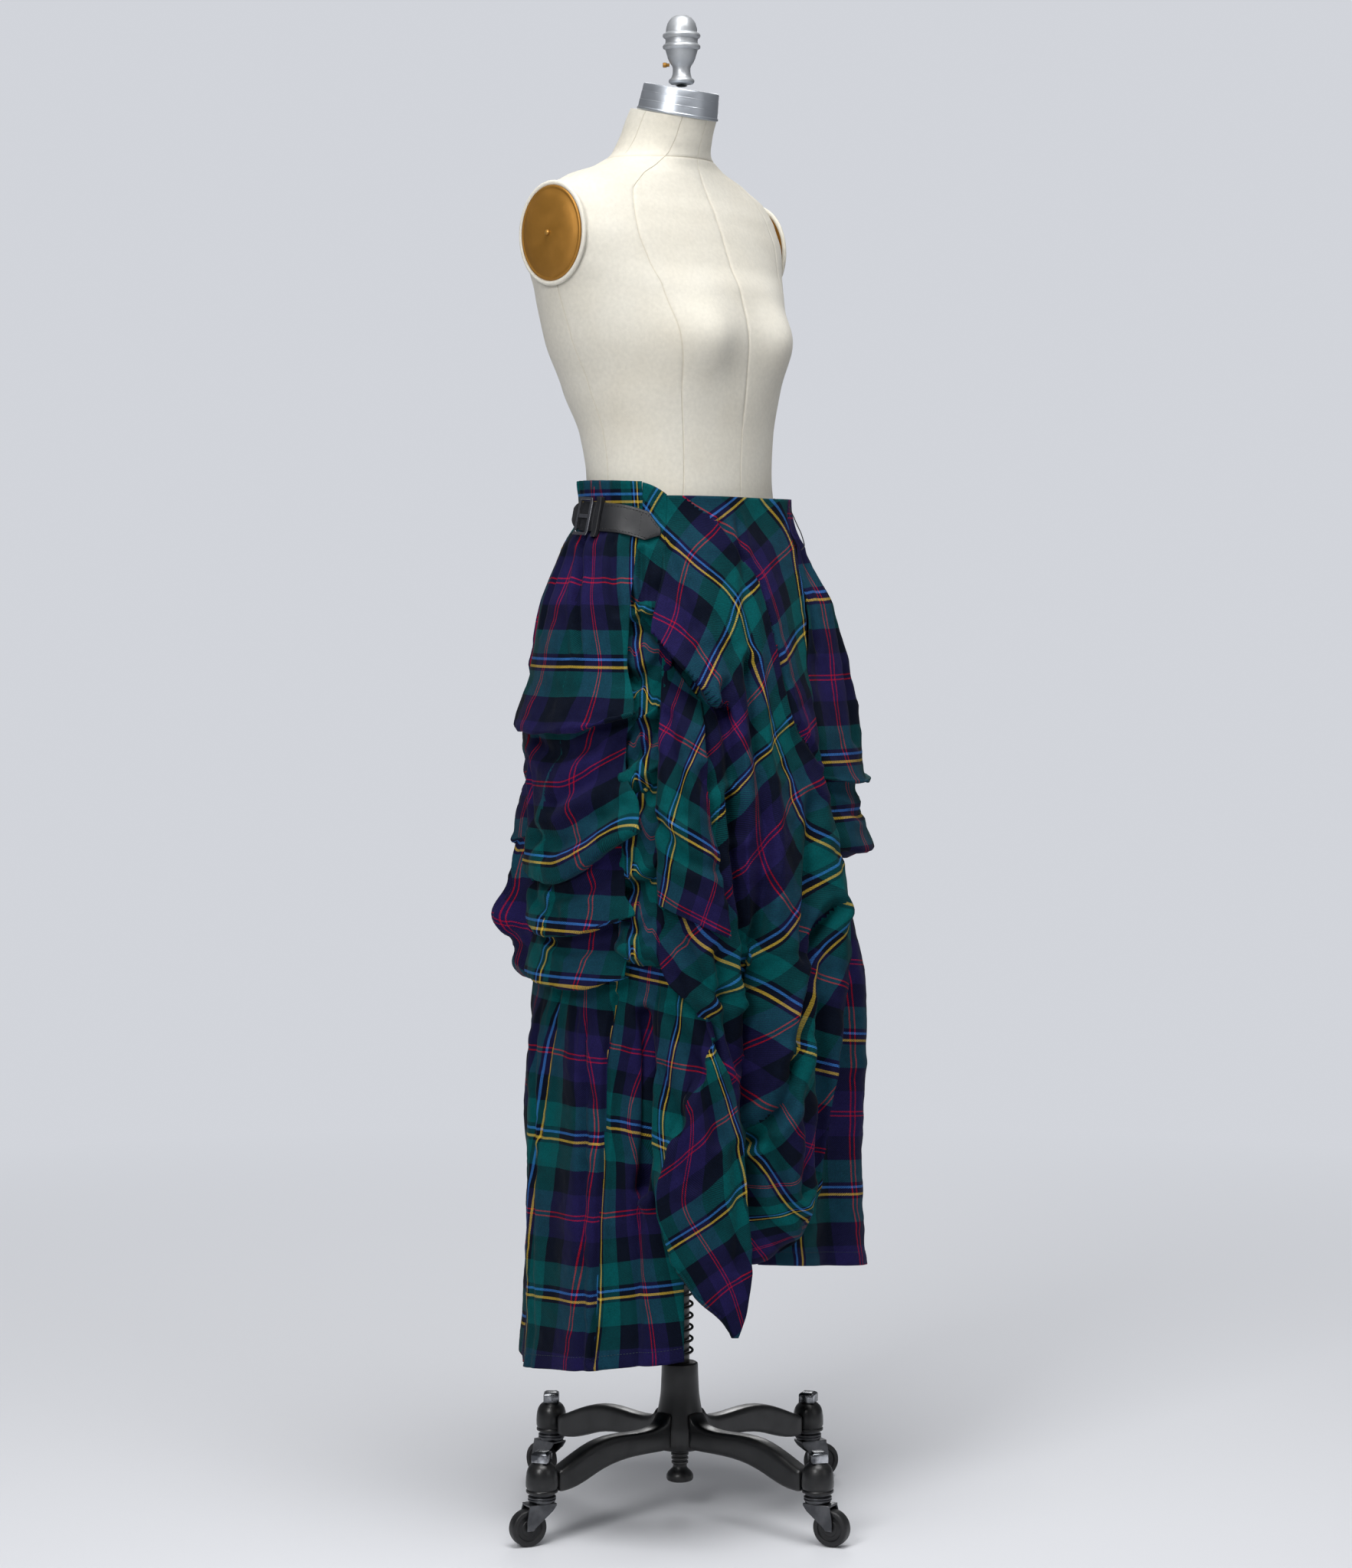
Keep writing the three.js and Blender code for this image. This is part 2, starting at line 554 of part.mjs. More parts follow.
// The layer over the front at the right hip: cowl edge above, a hanging point below.
const COWL_EDGE = [
  { z: 1034, at: 229 },
  { z: 955, at: 228 },
  { z: 870, at: 229.5 },
  { z: 805, at: 232.5 },
  { z: 705, at: 235 },
];
const FRONT_COWL = {
  from: RIGHT_FRONT_SEAM - 0.15,
  to: COWL_EDGE,
  columns: 7,
  rows: [
    { z: [1034, 1006, 978], out: [-4, 1, 2] },
    { z: [1005, 984, 960], out: [-1, 8, 8], steps: 1 },
    { z: [975, 962, 945], out: [2, 15, 13], steps: 1 },
    { z: [925, 922, 918], out: [3, 18, 15], steps: 2 },
    { z: [860, 860, 866], out: [2, 20, 17], steps: 2 },
    { z: [800, 800, 805], out: [2, 20, 18], steps: 2 },
    { z: [762, 755, 752], out: [2, 20, 20], steps: 2 },
    { z: [748, 730, 709], out: [1, 18, 20], steps: 1 },
  ],
};

// The long point that hangs in front of the opening between the legs.
const TAIL_BACK_EDGE = [
  { z: 690, at: RIGHT_FRONT_SEAM },
  { z: 600, at: 213 },
  { z: 480, at: 211 },
  { z: 400, at: 213 },
  { z: 340, at: 217 },
  { z: 300, at: 224 },
  { z: 262, at: 234 },
  { z: 248, at: 236 },
];
const TAIL_FRONT_EDGE = [
  { z: 690, at: 224 },
  { z: 600, at: 230 },
  { z: 540, at: 236 },
  { z: 460, at: 239 },
  { z: 330, at: 242 },
  { z: 280, at: 241 },
  { z: 248, at: 238 },
];
const FRONT_TAIL = {
  from: TAIL_BACK_EDGE,
  to: TAIL_FRONT_EDGE,
  columns: 7,
  rows: [
    { z: [690, 690, 690], out: [-7.2, 12, 8] },
    { z: [600, 600, 600], out: [6, 17, 12], steps: 2 },
    { z: [500, 500, 500], out: [9, 20, 17], steps: 2 },
    { z: [410, 410, 410], out: [8, 20, 18], steps: 2 },
    { z: [340, 340, 340], out: [6, 17, 17], steps: 2 },
    { z: [290, 290, 290], out: [8, 14, 15], steps: 1 },
    { z: [250, 250, 250], out: [10, 12, 13], steps: 1 },
  ],
};

// Straight under-panel on the right with two long pleats.
const PLEATS = [
  { at: 187, depth: 9, width: 1.6 },
  { at: 206, depth: 10, width: 2.0 },
  { at: 160, depth: 6, width: 1.8 },
];
const LEG_BACK_SEAM = 140;
const LEG_RIGHT = {
  from: LEG_BACK_SEAM,
  to: 221.6,
  columns: 18,
  rows: [
    { z: [690, 690, 690], out: [-17, -17, -20] },
    { z: [645, 642, 645], out: [-17, -17, -20], steps: 1 },
    { z: [590, 590, 590], out: [-9, -7, -20], steps: 1 },
    { z: [500, 500, 500], out: [-3, -2, -18], steps: 2 },
    { z: [400, 400, 400], out: [-2, 0, -16], steps: 2 },
    { z: [290, 300, 310], out: [0, 0, -10], steps: 2 },
    { z: [187, 203, 223], out: [2, 1, -3], steps: 2 },
  ],
  ripple: (u, z, at, degrees) => {
    const open = smoothstep(640, 580, z);
    const ease = 1 - 0.5 * smoothstep(450, 200, z);
    const pleats = PLEATS.reduce((sum, pleat) => {
      const offset = (degrees - pleat.at) / pleat.width;
      return sum - pleat.depth * Math.exp(-offset * offset);
    }, 0);
    const waves = 4 * Math.sin(radians(degrees * 12));
    return (pleats * ease + waves) * open;
  },
};

// Left side: gathered like the right, with two tucks.
const SIDE_LEFT = {
  from: LEFT_FRONT_SEAM,
  to: LEFT_BACK_SEAM,
  columns: 11,
  rows: [
    { z: [1211, 1213, 1215], out: [2, 0, 0] },
    { z: [1190, 1190, 1190], out: [0, -1, 0], steps: 1 },
    { z: [1150, 1150, 1150], out: [1, 0, 0], steps: 1 },
    { z: [1084, 1084, 1084], out: [0, 3, 0], steps: 2 },
    { z: [1010, 1005, 1010], out: [-2, 5, 2], steps: 2 },
    { z: [906, 896, 912], out: [-8, 10, 6], steps: 2 },
    { z: [888, 880, 898], out: [-8, 12, 6], steps: 1 },
    { z: [889, 880, 897], out: [-14, 3, -1], steps: 1 },
    { z: [872, 866, 885], out: [-16, 0, -3], steps: 1 },
    { z: [830, 822, 850], out: [-10, 12, 6], steps: 2 },
    { z: [812, 800, 838], out: [-10, 14, 7], steps: 1 },
    { z: [808, 797, 836], out: [-15, 5, 0], steps: 1 },
    { z: [803, 792, 822], out: [-19, -6, -6], steps: 1 },
    { z: [798, 788, 800], out: [-17, -13, -12], steps: 1 },
  ],
  ripple: (u, z) => 2.5 * Math.cos(u * Math.PI * 8) * smoothstep(1212, 1150, z) * smoothstep(900, 1000, z),
};

// Straight under-panel on the left.
const LEG_LEFT = {
  from: 251,
  to: LEFT_BACK_SEAM,
  columns: 16,
  rows: [
    { z: [815, 815, 815], out: [-26, -24, -21] },
    { z: [760, 760, 760], out: [-26, -22, -20], steps: 1 },
    { z: [640, 640, 640], out: [-16, -2, -19], steps: 2 },
    { z: [500, 500, 500], out: [-12, -2, -6], steps: 2 },
    { z: [400, 395, 390], out: [-10, 0, -3], steps: 1 },
    { z: [325, 305, 280], out: [-10, 2, -2], steps: 2 },
  ],
  ripple: (u, z, at, degrees) => {
    const waves = 4.5 * Math.sin(radians(degrees * 11)) * smoothstep(790, 640, z);
    const tucked = 16 * smoothstep(0.52, 0.38, u) * smoothstep(760, 640, z);
    return waves * smoothstep(0.15, 0.4, u) * smoothstep(1, 0.9, u) - tucked;
  },
};

// Corners where the back bulges out near its right seam.
const BULGE = [
  { at: 139, z: 835, out: 9, spread: 26 },
  { at: 140, z: 780, out: 16, spread: 30 },
  { at: 141, z: 720, out: 34, spread: 26 },
  { at: 143, z: 668, out: 12, spread: 20 },
];

// Back: yoked at the waist, two swags that droop in the middle, and a bulge near its right seam.
const BACK_PANEL = {
  from: LEFT_BACK_SEAM - 360,
  to: RIGHT_BACK_SEAM,
  columns: 16,
  rows: [
    { z: [1215, 1222, 1232], out: [0, 0, 2] },
    { z: [1190, 1190, 1190], out: [0, -1, -1], steps: 1 },
    { z: [1150, 1150, 1150], out: [0, 1, 0], steps: 1 },
    { z: [1060, 1050, 1060], out: [0, 4, 2], steps: 2 },
    { z: [900, 880, 890], out: [2, 8, -5], steps: 3 },
    { z: [838, 800, 832], out: [6, 16, -4], steps: 2 },
    { z: [830, 792, 822], out: [5, 15, -4], steps: 1 },
    { z: [829, 792, 820], out: [-2, 6, -9], steps: 1 },
    { z: [812, 775, 800], out: [-4, 3, -9], steps: 1 },
    { z: [760, 730, 745], out: [2, 12, -6], steps: 2 },
    { z: [728, 700, 712], out: [1, 11, -6], steps: 1 },
    { z: [726, 697, 704], out: [-6, 3, -9], steps: 1 },
    { z: [715, 685, 690], out: [-9, 0, -10], steps: 1 },
    { z: [690, 668, 662], out: [-2, 6, -8], steps: 1 },
    { z: [688, 665, 650], out: [-8, -2, -12], steps: 1 },
    { z: [688, 665, 650], out: [-14, -12, -15], steps: 1 },
  ],
  ripple: (u, z, at, degrees) => {
    const gathers = 3 * Math.cos(u * Math.PI * 12) * smoothstep(1212, 1150, z) * smoothstep(860, 1000, z);
    const corners = BULGE.reduce((sum, corner) => sum + corner.out
      * Math.exp(-(((degrees - corner.at) / 9) ** 2) - (((z - corner.z) / corner.spread) ** 2)), 0);
    return gathers + corners * smoothstep(1, 0.94, u);
  },
};

// Straight under-panel at the back, its hem rises towards the left.
const BACK_LOWER = {
  from: LEFT_BACK_SEAM - 360,
  to: LEG_BACK_SEAM,
  columns: 16,
  rows: [
    { z: [720, 700, 690], out: [-20, -18, -17] },
    { z: [640, 640, 640], out: [-18, -16, -17], steps: 1 },
    { z: [520, 500, 500], out: [-4, -3, -3], steps: 2 },
    { z: [390, 370, 340], out: [-3, -2, -1], steps: 2 },
    { z: [279, 238, 187], out: [-2, 0, 2], steps: 2 },
  ],
  ripple: (u, z, at, degrees) => 5 * Math.sin(radians(degrees * 9)) * smoothstep(640, 540, z)
    * smoothstep(0, 0.06, u) * smoothstep(1, 0.94, u),
};

const PANELS = {
  side_right: SIDE_RIGHT,
  ruche_right: RUCHE_RIGHT,
  front_panel: FRONT_PANEL,
  front_cowl: FRONT_COWL,
  front_tail: FRONT_TAIL,
  leg_right: LEG_RIGHT,
  side_left: SIDE_LEFT,
  leg_left: LEG_LEFT,
  back_panel: BACK_PANEL,
  back_lower: BACK_LOWER,
};
Object.entries(PANELS).forEach(([name, panel]) => add(name, panelGeometry(panel), TARTAN));

// ------------------------------------------------------------ belt and trims
// Where each band starts and ends, from the pointed stub at the back to the strap's tip at the front.
const STUB = { from: 170.35, to: 151 };
const ROLL = { from: 170.5, to: 180 };
const KEEPER = { from: 180.15, to: 182.6 };
const STRAP = { from: 182.75, to: 211, width: 33, thickness: 3 };
const BELT_CLEAR = 0.9;
const BAND_HALF = 17;

// A band laid round the hip: centre height falls slightly towards the tip.
function bandPoint(degrees, lift, edge, z) {
  const top = clothRadius(degrees, z + BAND_HALF, 0);
  const bottom = clothRadius(degrees, z - BAND_HALF, 0);
  const straight = bottom + (top - bottom) * (edge + BAND_HALF) / (2 * BAND_HALF);
  const radius = Math.max(straight, clothRadius(degrees, z + edge, 0)) + BELT_CLEAR + lift;
  return direction(degrees).multiplyScalar(radius).setZ(z + edge);
}

function bandGeometry({ from, to, steps, width, lift, thickness, height }) {
  const rings = [];
  for (let i = 0; i <= steps; i += 1) {
    const t = i / steps;
    const degrees = from + (to - from) * t;
    const half = width(t) / 2;
    const z = height(degrees);
    rings.push([
      bandPoint(degrees, lift, half, z), bandPoint(degrees, lift, -half, z),
      bandPoint(degrees, lift + thickness, -half, z), bandPoint(degrees, lift + thickness, half, z),
    ]);
  }
  if (to > from) rings.reverse();
  return loft(rings);
}
const strapHeight = (degrees) => 1190 - 0.16 * (degrees - 178);
const POINT_SHARE = 0.8;
const strapWidth = (t) => (t < POINT_SHARE ? STRAP.width
  : STRAP.width * (1 - 0.8 * (t - POINT_SHARE) / (1 - POINT_SHARE)));

add('strap', bandGeometry({ ...STRAP, steps: 10, width: strapWidth, lift: 0, height: strapHeight }), LEATHER);
add('strap_stub', bandGeometry({ ...STUB, steps: 6, width: (t) => 30 - 14 * t, lift: 0, thickness: 3,
  height: (degrees) => 1190 - 0.1 * (178 - degrees) }), LEATHER);
add('buckle_roll', bandGeometry({ ...ROLL, steps: 4, width: () => 34, lift: 0, thickness: 8,
  height: strapHeight }), LEATHER);
add('buckle_keeper', bandGeometry({ ...KEEPER, steps: 2, width: () => 46, lift: 0, thickness: 8,
  height: strapHeight }), LEATHER);

// Buckle frame: a rectangular ring bent round the hip in front of the roll.
function buckleFrameGeometry() {
  const plate = (from, to, half, low, high) => toSolid(bandGeometry({
    from, to, steps: 3, width: () => 2 * half, lift: low, thickness: high, height: strapHeight }));
  const outer = plate(169.3, 178.8, 22, 8.4, 3);
  const opening = plate(170.8, 177.3, 18.5, 7, 6);
  return toGeometry(outer.subtract(opening));
}
add('buckle_frame', buckleFrameGeometry(), BLACK_IRON);
add('buckle_prong', bandGeometry({ from: 171.1, to: 177, steps: 2, width: () => 4, lift: 8.6, thickness: 2.4,
  height: strapHeight }), STEEL);

// Hanger loop: thin ribbon that stands off the left end of the front's top edge.
function hangerLoopGeometry() {
  const degrees = 301;
  const foot = (z, lift) => direction(degrees).multiplyScalar(clothRadius(degrees, z, lift)).setZ(z);
  const route = new THREE.CatmullRomCurve3([foot(1203, 3.4), foot(1190, 7), foot(1172, 11), foot(1158, 10),
    foot(1152, 4.4)]);
  const half = 0.6;
  const section = new THREE.Shape([new THREE.Vector2(-half, -1.6), new THREE.Vector2(half, -1.6),
    new THREE.Vector2(half, 1.6), new THREE.Vector2(-half, 1.6)]);
  return new THREE.ExtrudeGeometry(section, { steps: 10, extrudePath: route, bevelEnabled: false });
}
add('hanger_loop', hangerLoopGeometry(), LEATHER);

// -------------------------------------------------------------------- stand
const TUBE_RADIUS = 11.5;
const HUB_TOP = 180;
const TUBE = { bottom: 96 + SEAM, top: 520, bore: 8.3, boreFrom: 250 };
const POLE = { radius: 8, bottom: 300 };
const tubeProfile = [[0, TUBE.bottom], [TUBE_RADIUS, TUBE.bottom], [TUBE_RADIUS, 498], [16, 500],
  [16, TUBE.top - 2], [14, TUBE.top], [TUBE.bore, TUBE.top], [TUBE.bore, TUBE.boreFrom], [0, TUBE.boreFrom]];
add('stand_tube', turned(tubeProfile, 16), BLACK_IRON);
// The pole slides in the tube and carries the form on its flange.
add('pole', turned([[0, POLE.bottom], [POLE.radius, POLE.bottom], [POLE.radius, 820], [15, 822], [15, 868],
  [42, 870], [42, FORM_BOTTOM - SEAM], [0, FORM_BOTTOM - SEAM]], 16), STEEL);

const SPRING = { radius: 15.2, wire: 1.6, pitch: 14, turns: 8, stepsPerTurn: 8, from: HUB_TOP + 2.2 };
function springGeometry() {
  const points = [];
  const count = SPRING.turns * SPRING.stepsPerTurn;
  for (let i = 0; i <= count; i += 1) {
    const turn = i / SPRING.stepsPerTurn;
    const p = direction(360 * turn).multiplyScalar(SPRING.radius);
    const climbed = Math.max(turn - 0.75, 0) * (SPRING.turns / (SPRING.turns - 0.75));
    points.push(p.setZ(SPRING.from + SPRING.pitch * climbed));
  }
  const sides = 4;
  const section = (i) => {
    const angle = (360 * i) / SPRING.stepsPerTurn;
    const ring = [];
    for (let s = 0; s < sides; s += 1) {
      const around = (2 * Math.PI * s) / sides;
      ring.push(points[i].clone().add(direction(angle).multiplyScalar(SPRING.wire * Math.cos(around)))
        .add(new THREE.Vector3(0, 0, SPRING.wire * Math.sin(around))));
    }
    return ring;
  };
  return loft(points.map((_, i) => section(i)).reverse());
}
add('spring', springGeometry(), BLACK_IRON);

// Hub: a turned sleeve that flares into the arms, bored for the tube.
const HUB_BORE = TUBE_RADIUS + SEAM;
const hubProfile = [[HUB_BORE, 96], [0, 96], [0, 76], [22, 76], [30, 80], [31, 100], [28, 116], [24.5, 134],
  [22.8, 150], [21.8, HUB_TOP - 3], [20, HUB_TOP], [HUB_BORE, HUB_TOP]];
add('hub', turned([...hubProfile, hubProfile[0]], 16), BLACK_IRON);

add('pole_foot', turned([[0, 36], [12, 36], [16.3, 39], [16.3, 44], [12, 50], [8, 53], [8.5, 58], [11, 72],
  [11.5, 75.7], [0, 75.7]], 12), BLACK_IRON);

const ARM_DIRECTIONS = { front: 265, right: 175, back: 85, left: 355 };
const CASTOR_RADIUS = 226;
// Arm outline in its own plane: distance from the pole, bottom height and top height.
const ARM_OUTLINE = [
  { reach: 31.3, bottom: 79, top: 104, half: 12 },
  { reach: 52, bottom: 79, top: 108, half: 11 },
  { reach: 80, bottom: 79, top: 108, half: 11 },
  { reach: 108, bottom: 79, top: 111, half: 11 },
  { reach: 136, bottom: 74, top: 109, half: 11 },
  { reach: 158, bottom: 66, top: 103, half: 11 },
  { reach: 178, bottom: 60, top: 95, half: 11 },
  { reach: 207, bottom: 58, top: 84, half: 10 },
];
function armGeometry() {
  const rings = ARM_OUTLINE.map(({ reach, bottom, top, half }) => {
    const chamfer = 3;
    return [[half - chamfer, bottom], [half, bottom + chamfer], [half, top - chamfer], [half - chamfer, top],
      [chamfer - half, top], [-half, top - chamfer], [-half, bottom + chamfer], [chamfer - half, bottom]]
      .map(([y, z]) => new THREE.Vector3(reach, y, z));
  });
  return loft(rings);
}

const BELL_PROFILE = [[0, 61], [18, 61], [18.5, 64], [18.5, 78], [17, 88], [13, 94], [8, 96], [0, 96]];
const NUT_PROFILE = [[0, 96.3], [9.6, 96.3], [9.6, 107], [7.6, 109.5], [0, 109.5]];
const RACE_PROFILE = [[0, 49], [13, 49], [16.2, 53], [16.2, 56], [14, 58.5], [14, 60.7], [0, 60.7]];
const WHEEL = { radius: 22, width: 16, trail: 18 };
const WHEEL_SIDES = 20;
const CASTOR_TRAIL = { front: 282, right: 156, back: 85, left: 335 };

function wheelGeometry() {
  const { radius, width } = WHEEL;
  const half = width / 2;
  const bore = 3.3;
  const profile = [[bore, -half], [radius - 2.5, -half], [radius, 2.5 - half], [radius, half - 2.5],
    [radius - 2.5, half], [bore, half], [bore, -half]];
  return turned(profile, WHEEL_SIDES).rotateX(Math.PI / 2).rotateY(Math.PI / WHEEL_SIDES);
}

// Fork: a top plate under the race and two cheeks down to the axle, pressed from one strip.
function forkGeometry() {
  const cheekShape = new THREE.Shape([new THREE.Vector2(-14, 50.2), new THREE.Vector2(-13, 44),
    new THREE.Vector2(WHEEL.trail - 5, 19), new THREE.Vector2(WHEEL.trail + 3, 17.5),
    new THREE.Vector2(WHEEL.trail + 6, 23), new THREE.Vector2(WHEEL.trail + 2, 44),
    new THREE.Vector2(20, 50.2)]);
  const plateShape = new THREE.Shape([new THREE.Vector2(-14, 46.2), new THREE.Vector2(22, 46.2),
    new THREE.Vector2(20, 50.2), new THREE.Vector2(-14, 50.2)]);
  const slab = (shape, from, to) => {
    const plate = new THREE.ExtrudeGeometry(shape, { depth: to - from, bevelEnabled: false });
    return toSolid(plate.rotateX(Math.PI / 2).translate(0, to, 0));
  };
  const gap = WHEEL.width / 2 + 1;
  const cheek = 2.4;
  return toGeometry(slab(cheekShape, gap, gap + cheek).add(slab(cheekShape, -gap - cheek, -gap))
    .add(slab(plateShape, -gap - cheek, gap + cheek)));
}

function axleGeometry() {
  const inner = WHEEL.width / 2 + 0.7;
  return turned([[0, -inner], [3, -inner], [3, inner], [0, inner]], 10).rotateX(Math.PI / 2);
}

Object.entries(ARM_DIRECTIONS).forEach(([name, degrees]) => {
  const arm = new THREE.Group();
  arm.rotation.z = radians(degrees);
  group.add(arm);
  add(`arm_${name}`, armGeometry(), BLACK_IRON, arm);
  const castor = new THREE.Group();
  castor.position.copy(direction(degrees).multiplyScalar(CASTOR_RADIUS));
  castor.rotation.z = radians(CASTOR_TRAIL[name]);
  group.add(castor);
  add(`bell_${name}`, turned(BELL_PROFILE, 12), BLACK_IRON, castor);
  add(`nut_${name}`, turned(NUT_PROFILE, 4), CHROME, castor);
  const swivel = toSolid(turned(RACE_PROFILE, 12)).add(toSolid(forkGeometry()));
  add(`fork_${name}`, toGeometry(swivel), STEEL, castor);
  const wheel = add(`wheel_${name}`, wheelGeometry(), RUBBER, castor);
  wheel.position.set(WHEEL.trail, 0, WHEEL.radius * Math.cos(Math.PI / WHEEL_SIDES));
  const axle = add(`axle_${name}`, axleGeometry(), STEEL, castor);
  axle.position.copy(wheel.position);
});

export default group;
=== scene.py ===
"""Tartan skirt with a draped front, worn on a cream canvas dress form with a castor stand."""

import math

import bmesh
import bpy
import numpy as np
from mathutils import Matrix, Vector


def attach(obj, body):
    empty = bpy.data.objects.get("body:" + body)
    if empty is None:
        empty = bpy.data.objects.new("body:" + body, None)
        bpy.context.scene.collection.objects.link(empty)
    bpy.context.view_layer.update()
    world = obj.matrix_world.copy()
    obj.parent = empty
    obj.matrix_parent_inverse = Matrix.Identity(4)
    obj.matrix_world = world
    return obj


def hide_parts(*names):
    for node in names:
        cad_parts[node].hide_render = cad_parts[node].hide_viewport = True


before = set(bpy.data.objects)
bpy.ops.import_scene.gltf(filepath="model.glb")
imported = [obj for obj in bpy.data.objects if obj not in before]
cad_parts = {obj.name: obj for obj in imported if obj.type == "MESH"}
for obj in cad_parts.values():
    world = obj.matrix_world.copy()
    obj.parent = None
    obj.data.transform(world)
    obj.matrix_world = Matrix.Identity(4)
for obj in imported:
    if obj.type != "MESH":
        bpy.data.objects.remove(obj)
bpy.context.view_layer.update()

MM = 0.001


# ---------------------------------------------------------------- camera and light
def look_from(place, turn, pitch, focal):
    """A camera at place, turned about Z and tipped down by pitch, both in degrees."""
    data = bpy.data.cameras.new("camera")
    camera = bpy.data.objects.new("camera", data)
    bpy.context.scene.collection.objects.link(camera)
    data.sensor_fit = "VERTICAL"
    data.sensor_height = 36.0
    data.lens = focal
    data.clip_end = 60.0
    camera.location = place
    camera.rotation_euler = (math.radians(90 - pitch), 0, math.radians(turn))
    bpy.context.scene.camera = camera


CAMERA_SIDE = math.radians(220)
CAMERA_REACH = 4.3893
look_from(
    (CAMERA_REACH * math.cos(CAMERA_SIDE), CAMERA_REACH * math.sin(CAMERA_SIDE), 1.1019),
    turn=-49.94,
    pitch=2.967,
    focal=36.0 * 4820.1 / 2047,
)


# ---------------------------------------------------------------- sizes of the form
WALL = 2
FORM_BOTTOM = 880
SEAM_TURN = 0.02
SPLINE_PULL = 0.38

# Height, half width, front depth, back depth, lean towards the back.
TORSO_SECTIONS = [
    (880, 158, 98, 112, 0),
    (960, 170, 104, 122, 0),
    (1035, 172, 104, 124, 0),
    (1110, 162, 102, 110, 0),
    (1180, 141, 96, 97, 0),
    (1233, 130, 93, 93, 0),
    (1285, 133, 99, 99, 4),
    (1340, 147, 115, 112, 14),
    (1400, 167, 129, 118, 25),
    (1455, 180, 125, 114, 33),
    (1485, 193, 114, 108, 37),
    (1515, 203, 106, 100, 40),
    (1545, 197, 95, 89, 41),
    (1568, 182, 82, 77, 40),
    (1588, 140, 70, 67, 37),
    (1603, 92, 61, 61, 33),
    (1618, 62, 56, 57, 28),
    (1640, 53, 54, 53, 20),
    (1668, 50, 50, 50, 8),
]
ARM_FLAT_X = 184
BUST_X, BUST_Z, BUST_OUT, BUST_SPREAD_X, BUST_SPREAD_Z = 72, 1396, 22, 42, 44
NECK_TILT = 12

# Height, then the skirt's radius in the eight directions of BASE_DIRECTIONS.
BASE_DIRECTIONS = [0, 50, 90, 130, 180, 220, 270, 310]
BASE_SHAPE = [
    (1240, 140, 114, 100, 113, 139, 119, 104, 128),
    (1213, 144, 118, 102, 116, 141, 121, 108, 131),
    (1190, 148, 122, 104, 118, 142, 124, 112, 134),
    (1154, 165, 142, 122, 136, 162, 138, 124, 145),
    (1084, 188, 168, 150, 160, 184, 158, 144, 175),
    (1011, 202, 186, 170, 172, 194, 175, 161, 192),
    (947, 210, 196, 182, 181, 198, 187, 174, 205),
    (850, 216, 204, 192, 185, 202, 198, 189, 213),
    (700, 222, 210, 198, 189, 205, 207, 203, 220),
    (546, 224, 210, 198, 188, 204, 206, 205, 222),
    (400, 220, 205, 192, 183, 202, 205, 202, 215),
    (180, 222, 205, 190, 190, 204, 205, 200, 222),
]


# ---------------------------------------------------------------- shared shape helpers
def hermite(a, b, slope_a, slope_b, t):
    """Smooth curve from a to b with the given slopes."""
    t2 = t * t
    t3 = t2 * t
    return (2 * t3 - 3 * t2 + 1) * a + (t3 - 2 * t2 + t) * slope_a + (3 * t2 - 2 * t3) * b + (t3 - t2) * slope_b


def spline_through(values, at):
    """A soft curve through a row of values, read at fractional places."""
    values = np.asarray(values, float)
    at = np.asarray(at, float)
    last = len(values) - 1
    k = np.clip(np.floor(at).astype(int), 0, last - 1)
    t = at - k
    if values.ndim > 1:
        t = t[..., None]
    a = values[k]
    b = values[k + 1]
    first = k == 0
    final = k + 2 > last
    if values.ndim > 1:
        first = first[..., None]
        final = final[..., None]
    slope_a = np.where(first, b - a, SPLINE_PULL * (b - values[np.maximum(k - 1, 0)]))
    slope_b = np.where(final, b - a, SPLINE_PULL * (values[np.minimum(k + 2, last)] - a))
    return hermite(a, b, slope_a, slope_b, t)


def place_in(stops, value):
    """Fractional row number of value in a rising or falling row of stops."""
    stops = np.asarray(stops, float)
    rows = np.arange(len(stops), dtype=float)
    if stops[0] > stops[-1]:
        return np.interp(-np.asarray(value, float), -stops, rows)
    return np.interp(value, stops, rows)


def smoothstep(start, end, x):
    """Eases from 0 at start to 1 at end, in either direction."""
    t = np.clip((np.asarray(x, float) - start) / (end - start), 0, 1)
    return t * t * (3 - 2 * t)


def across(left, middle, right, u):
    """Parabola through the values at the left edge, the middle and the right edge."""
    return left * (1 - u) * (1 - 2 * u) + 4 * middle * u * (1 - u) + right * u * (2 * u - 1)


def torso_section(z):
    """Half width, front depth, back depth and lean of the form at height z."""
    at = place_in([row[0] for row in TORSO_SECTIONS], z)
    columns = spline_through([row[1:] for row in TORSO_SECTIONS], at)
    return [columns[..., i] for i in range(4)]


def form_radius(degrees, z):
    """Distance from the pole to the form's side."""
    width, front, back, _ = torso_section(np.maximum(z, FORM_BOTTOM))
    turn = np.radians(degrees)
    depth = np.where(np.sin(turn) < 0, front, back)
    return 1 / np.hypot(np.cos(turn) / width, np.sin(turn) / depth)


def base_radius(degrees, z):
    """Radius of the skirt's plain shape."""
    at = place_in([row[0] for row in BASE_SHAPE], z)
    ring = spline_through([row[1:] for row in BASE_SHAPE], at)
    turn = np.mod(degrees, 360)
    edges = np.array(BASE_DIRECTIONS + [360], float)
    count = len(BASE_DIRECTIONS)
    j = np.clip(np.searchsorted(edges, turn, side="right") - 1, 0, count - 1)
    share = (turn - edges[j]) / (edges[j + 1] - edges[j])
    before, here, after, beyond = [
        np.take_along_axis(ring, ((j + step) % count)[..., None], axis=-1)[..., 0] for step in (-1, 0, 1, 2)
    ]
    return hermite(here, after, SPLINE_PULL * (after - before), SPLINE_PULL * (beyond - here), share)


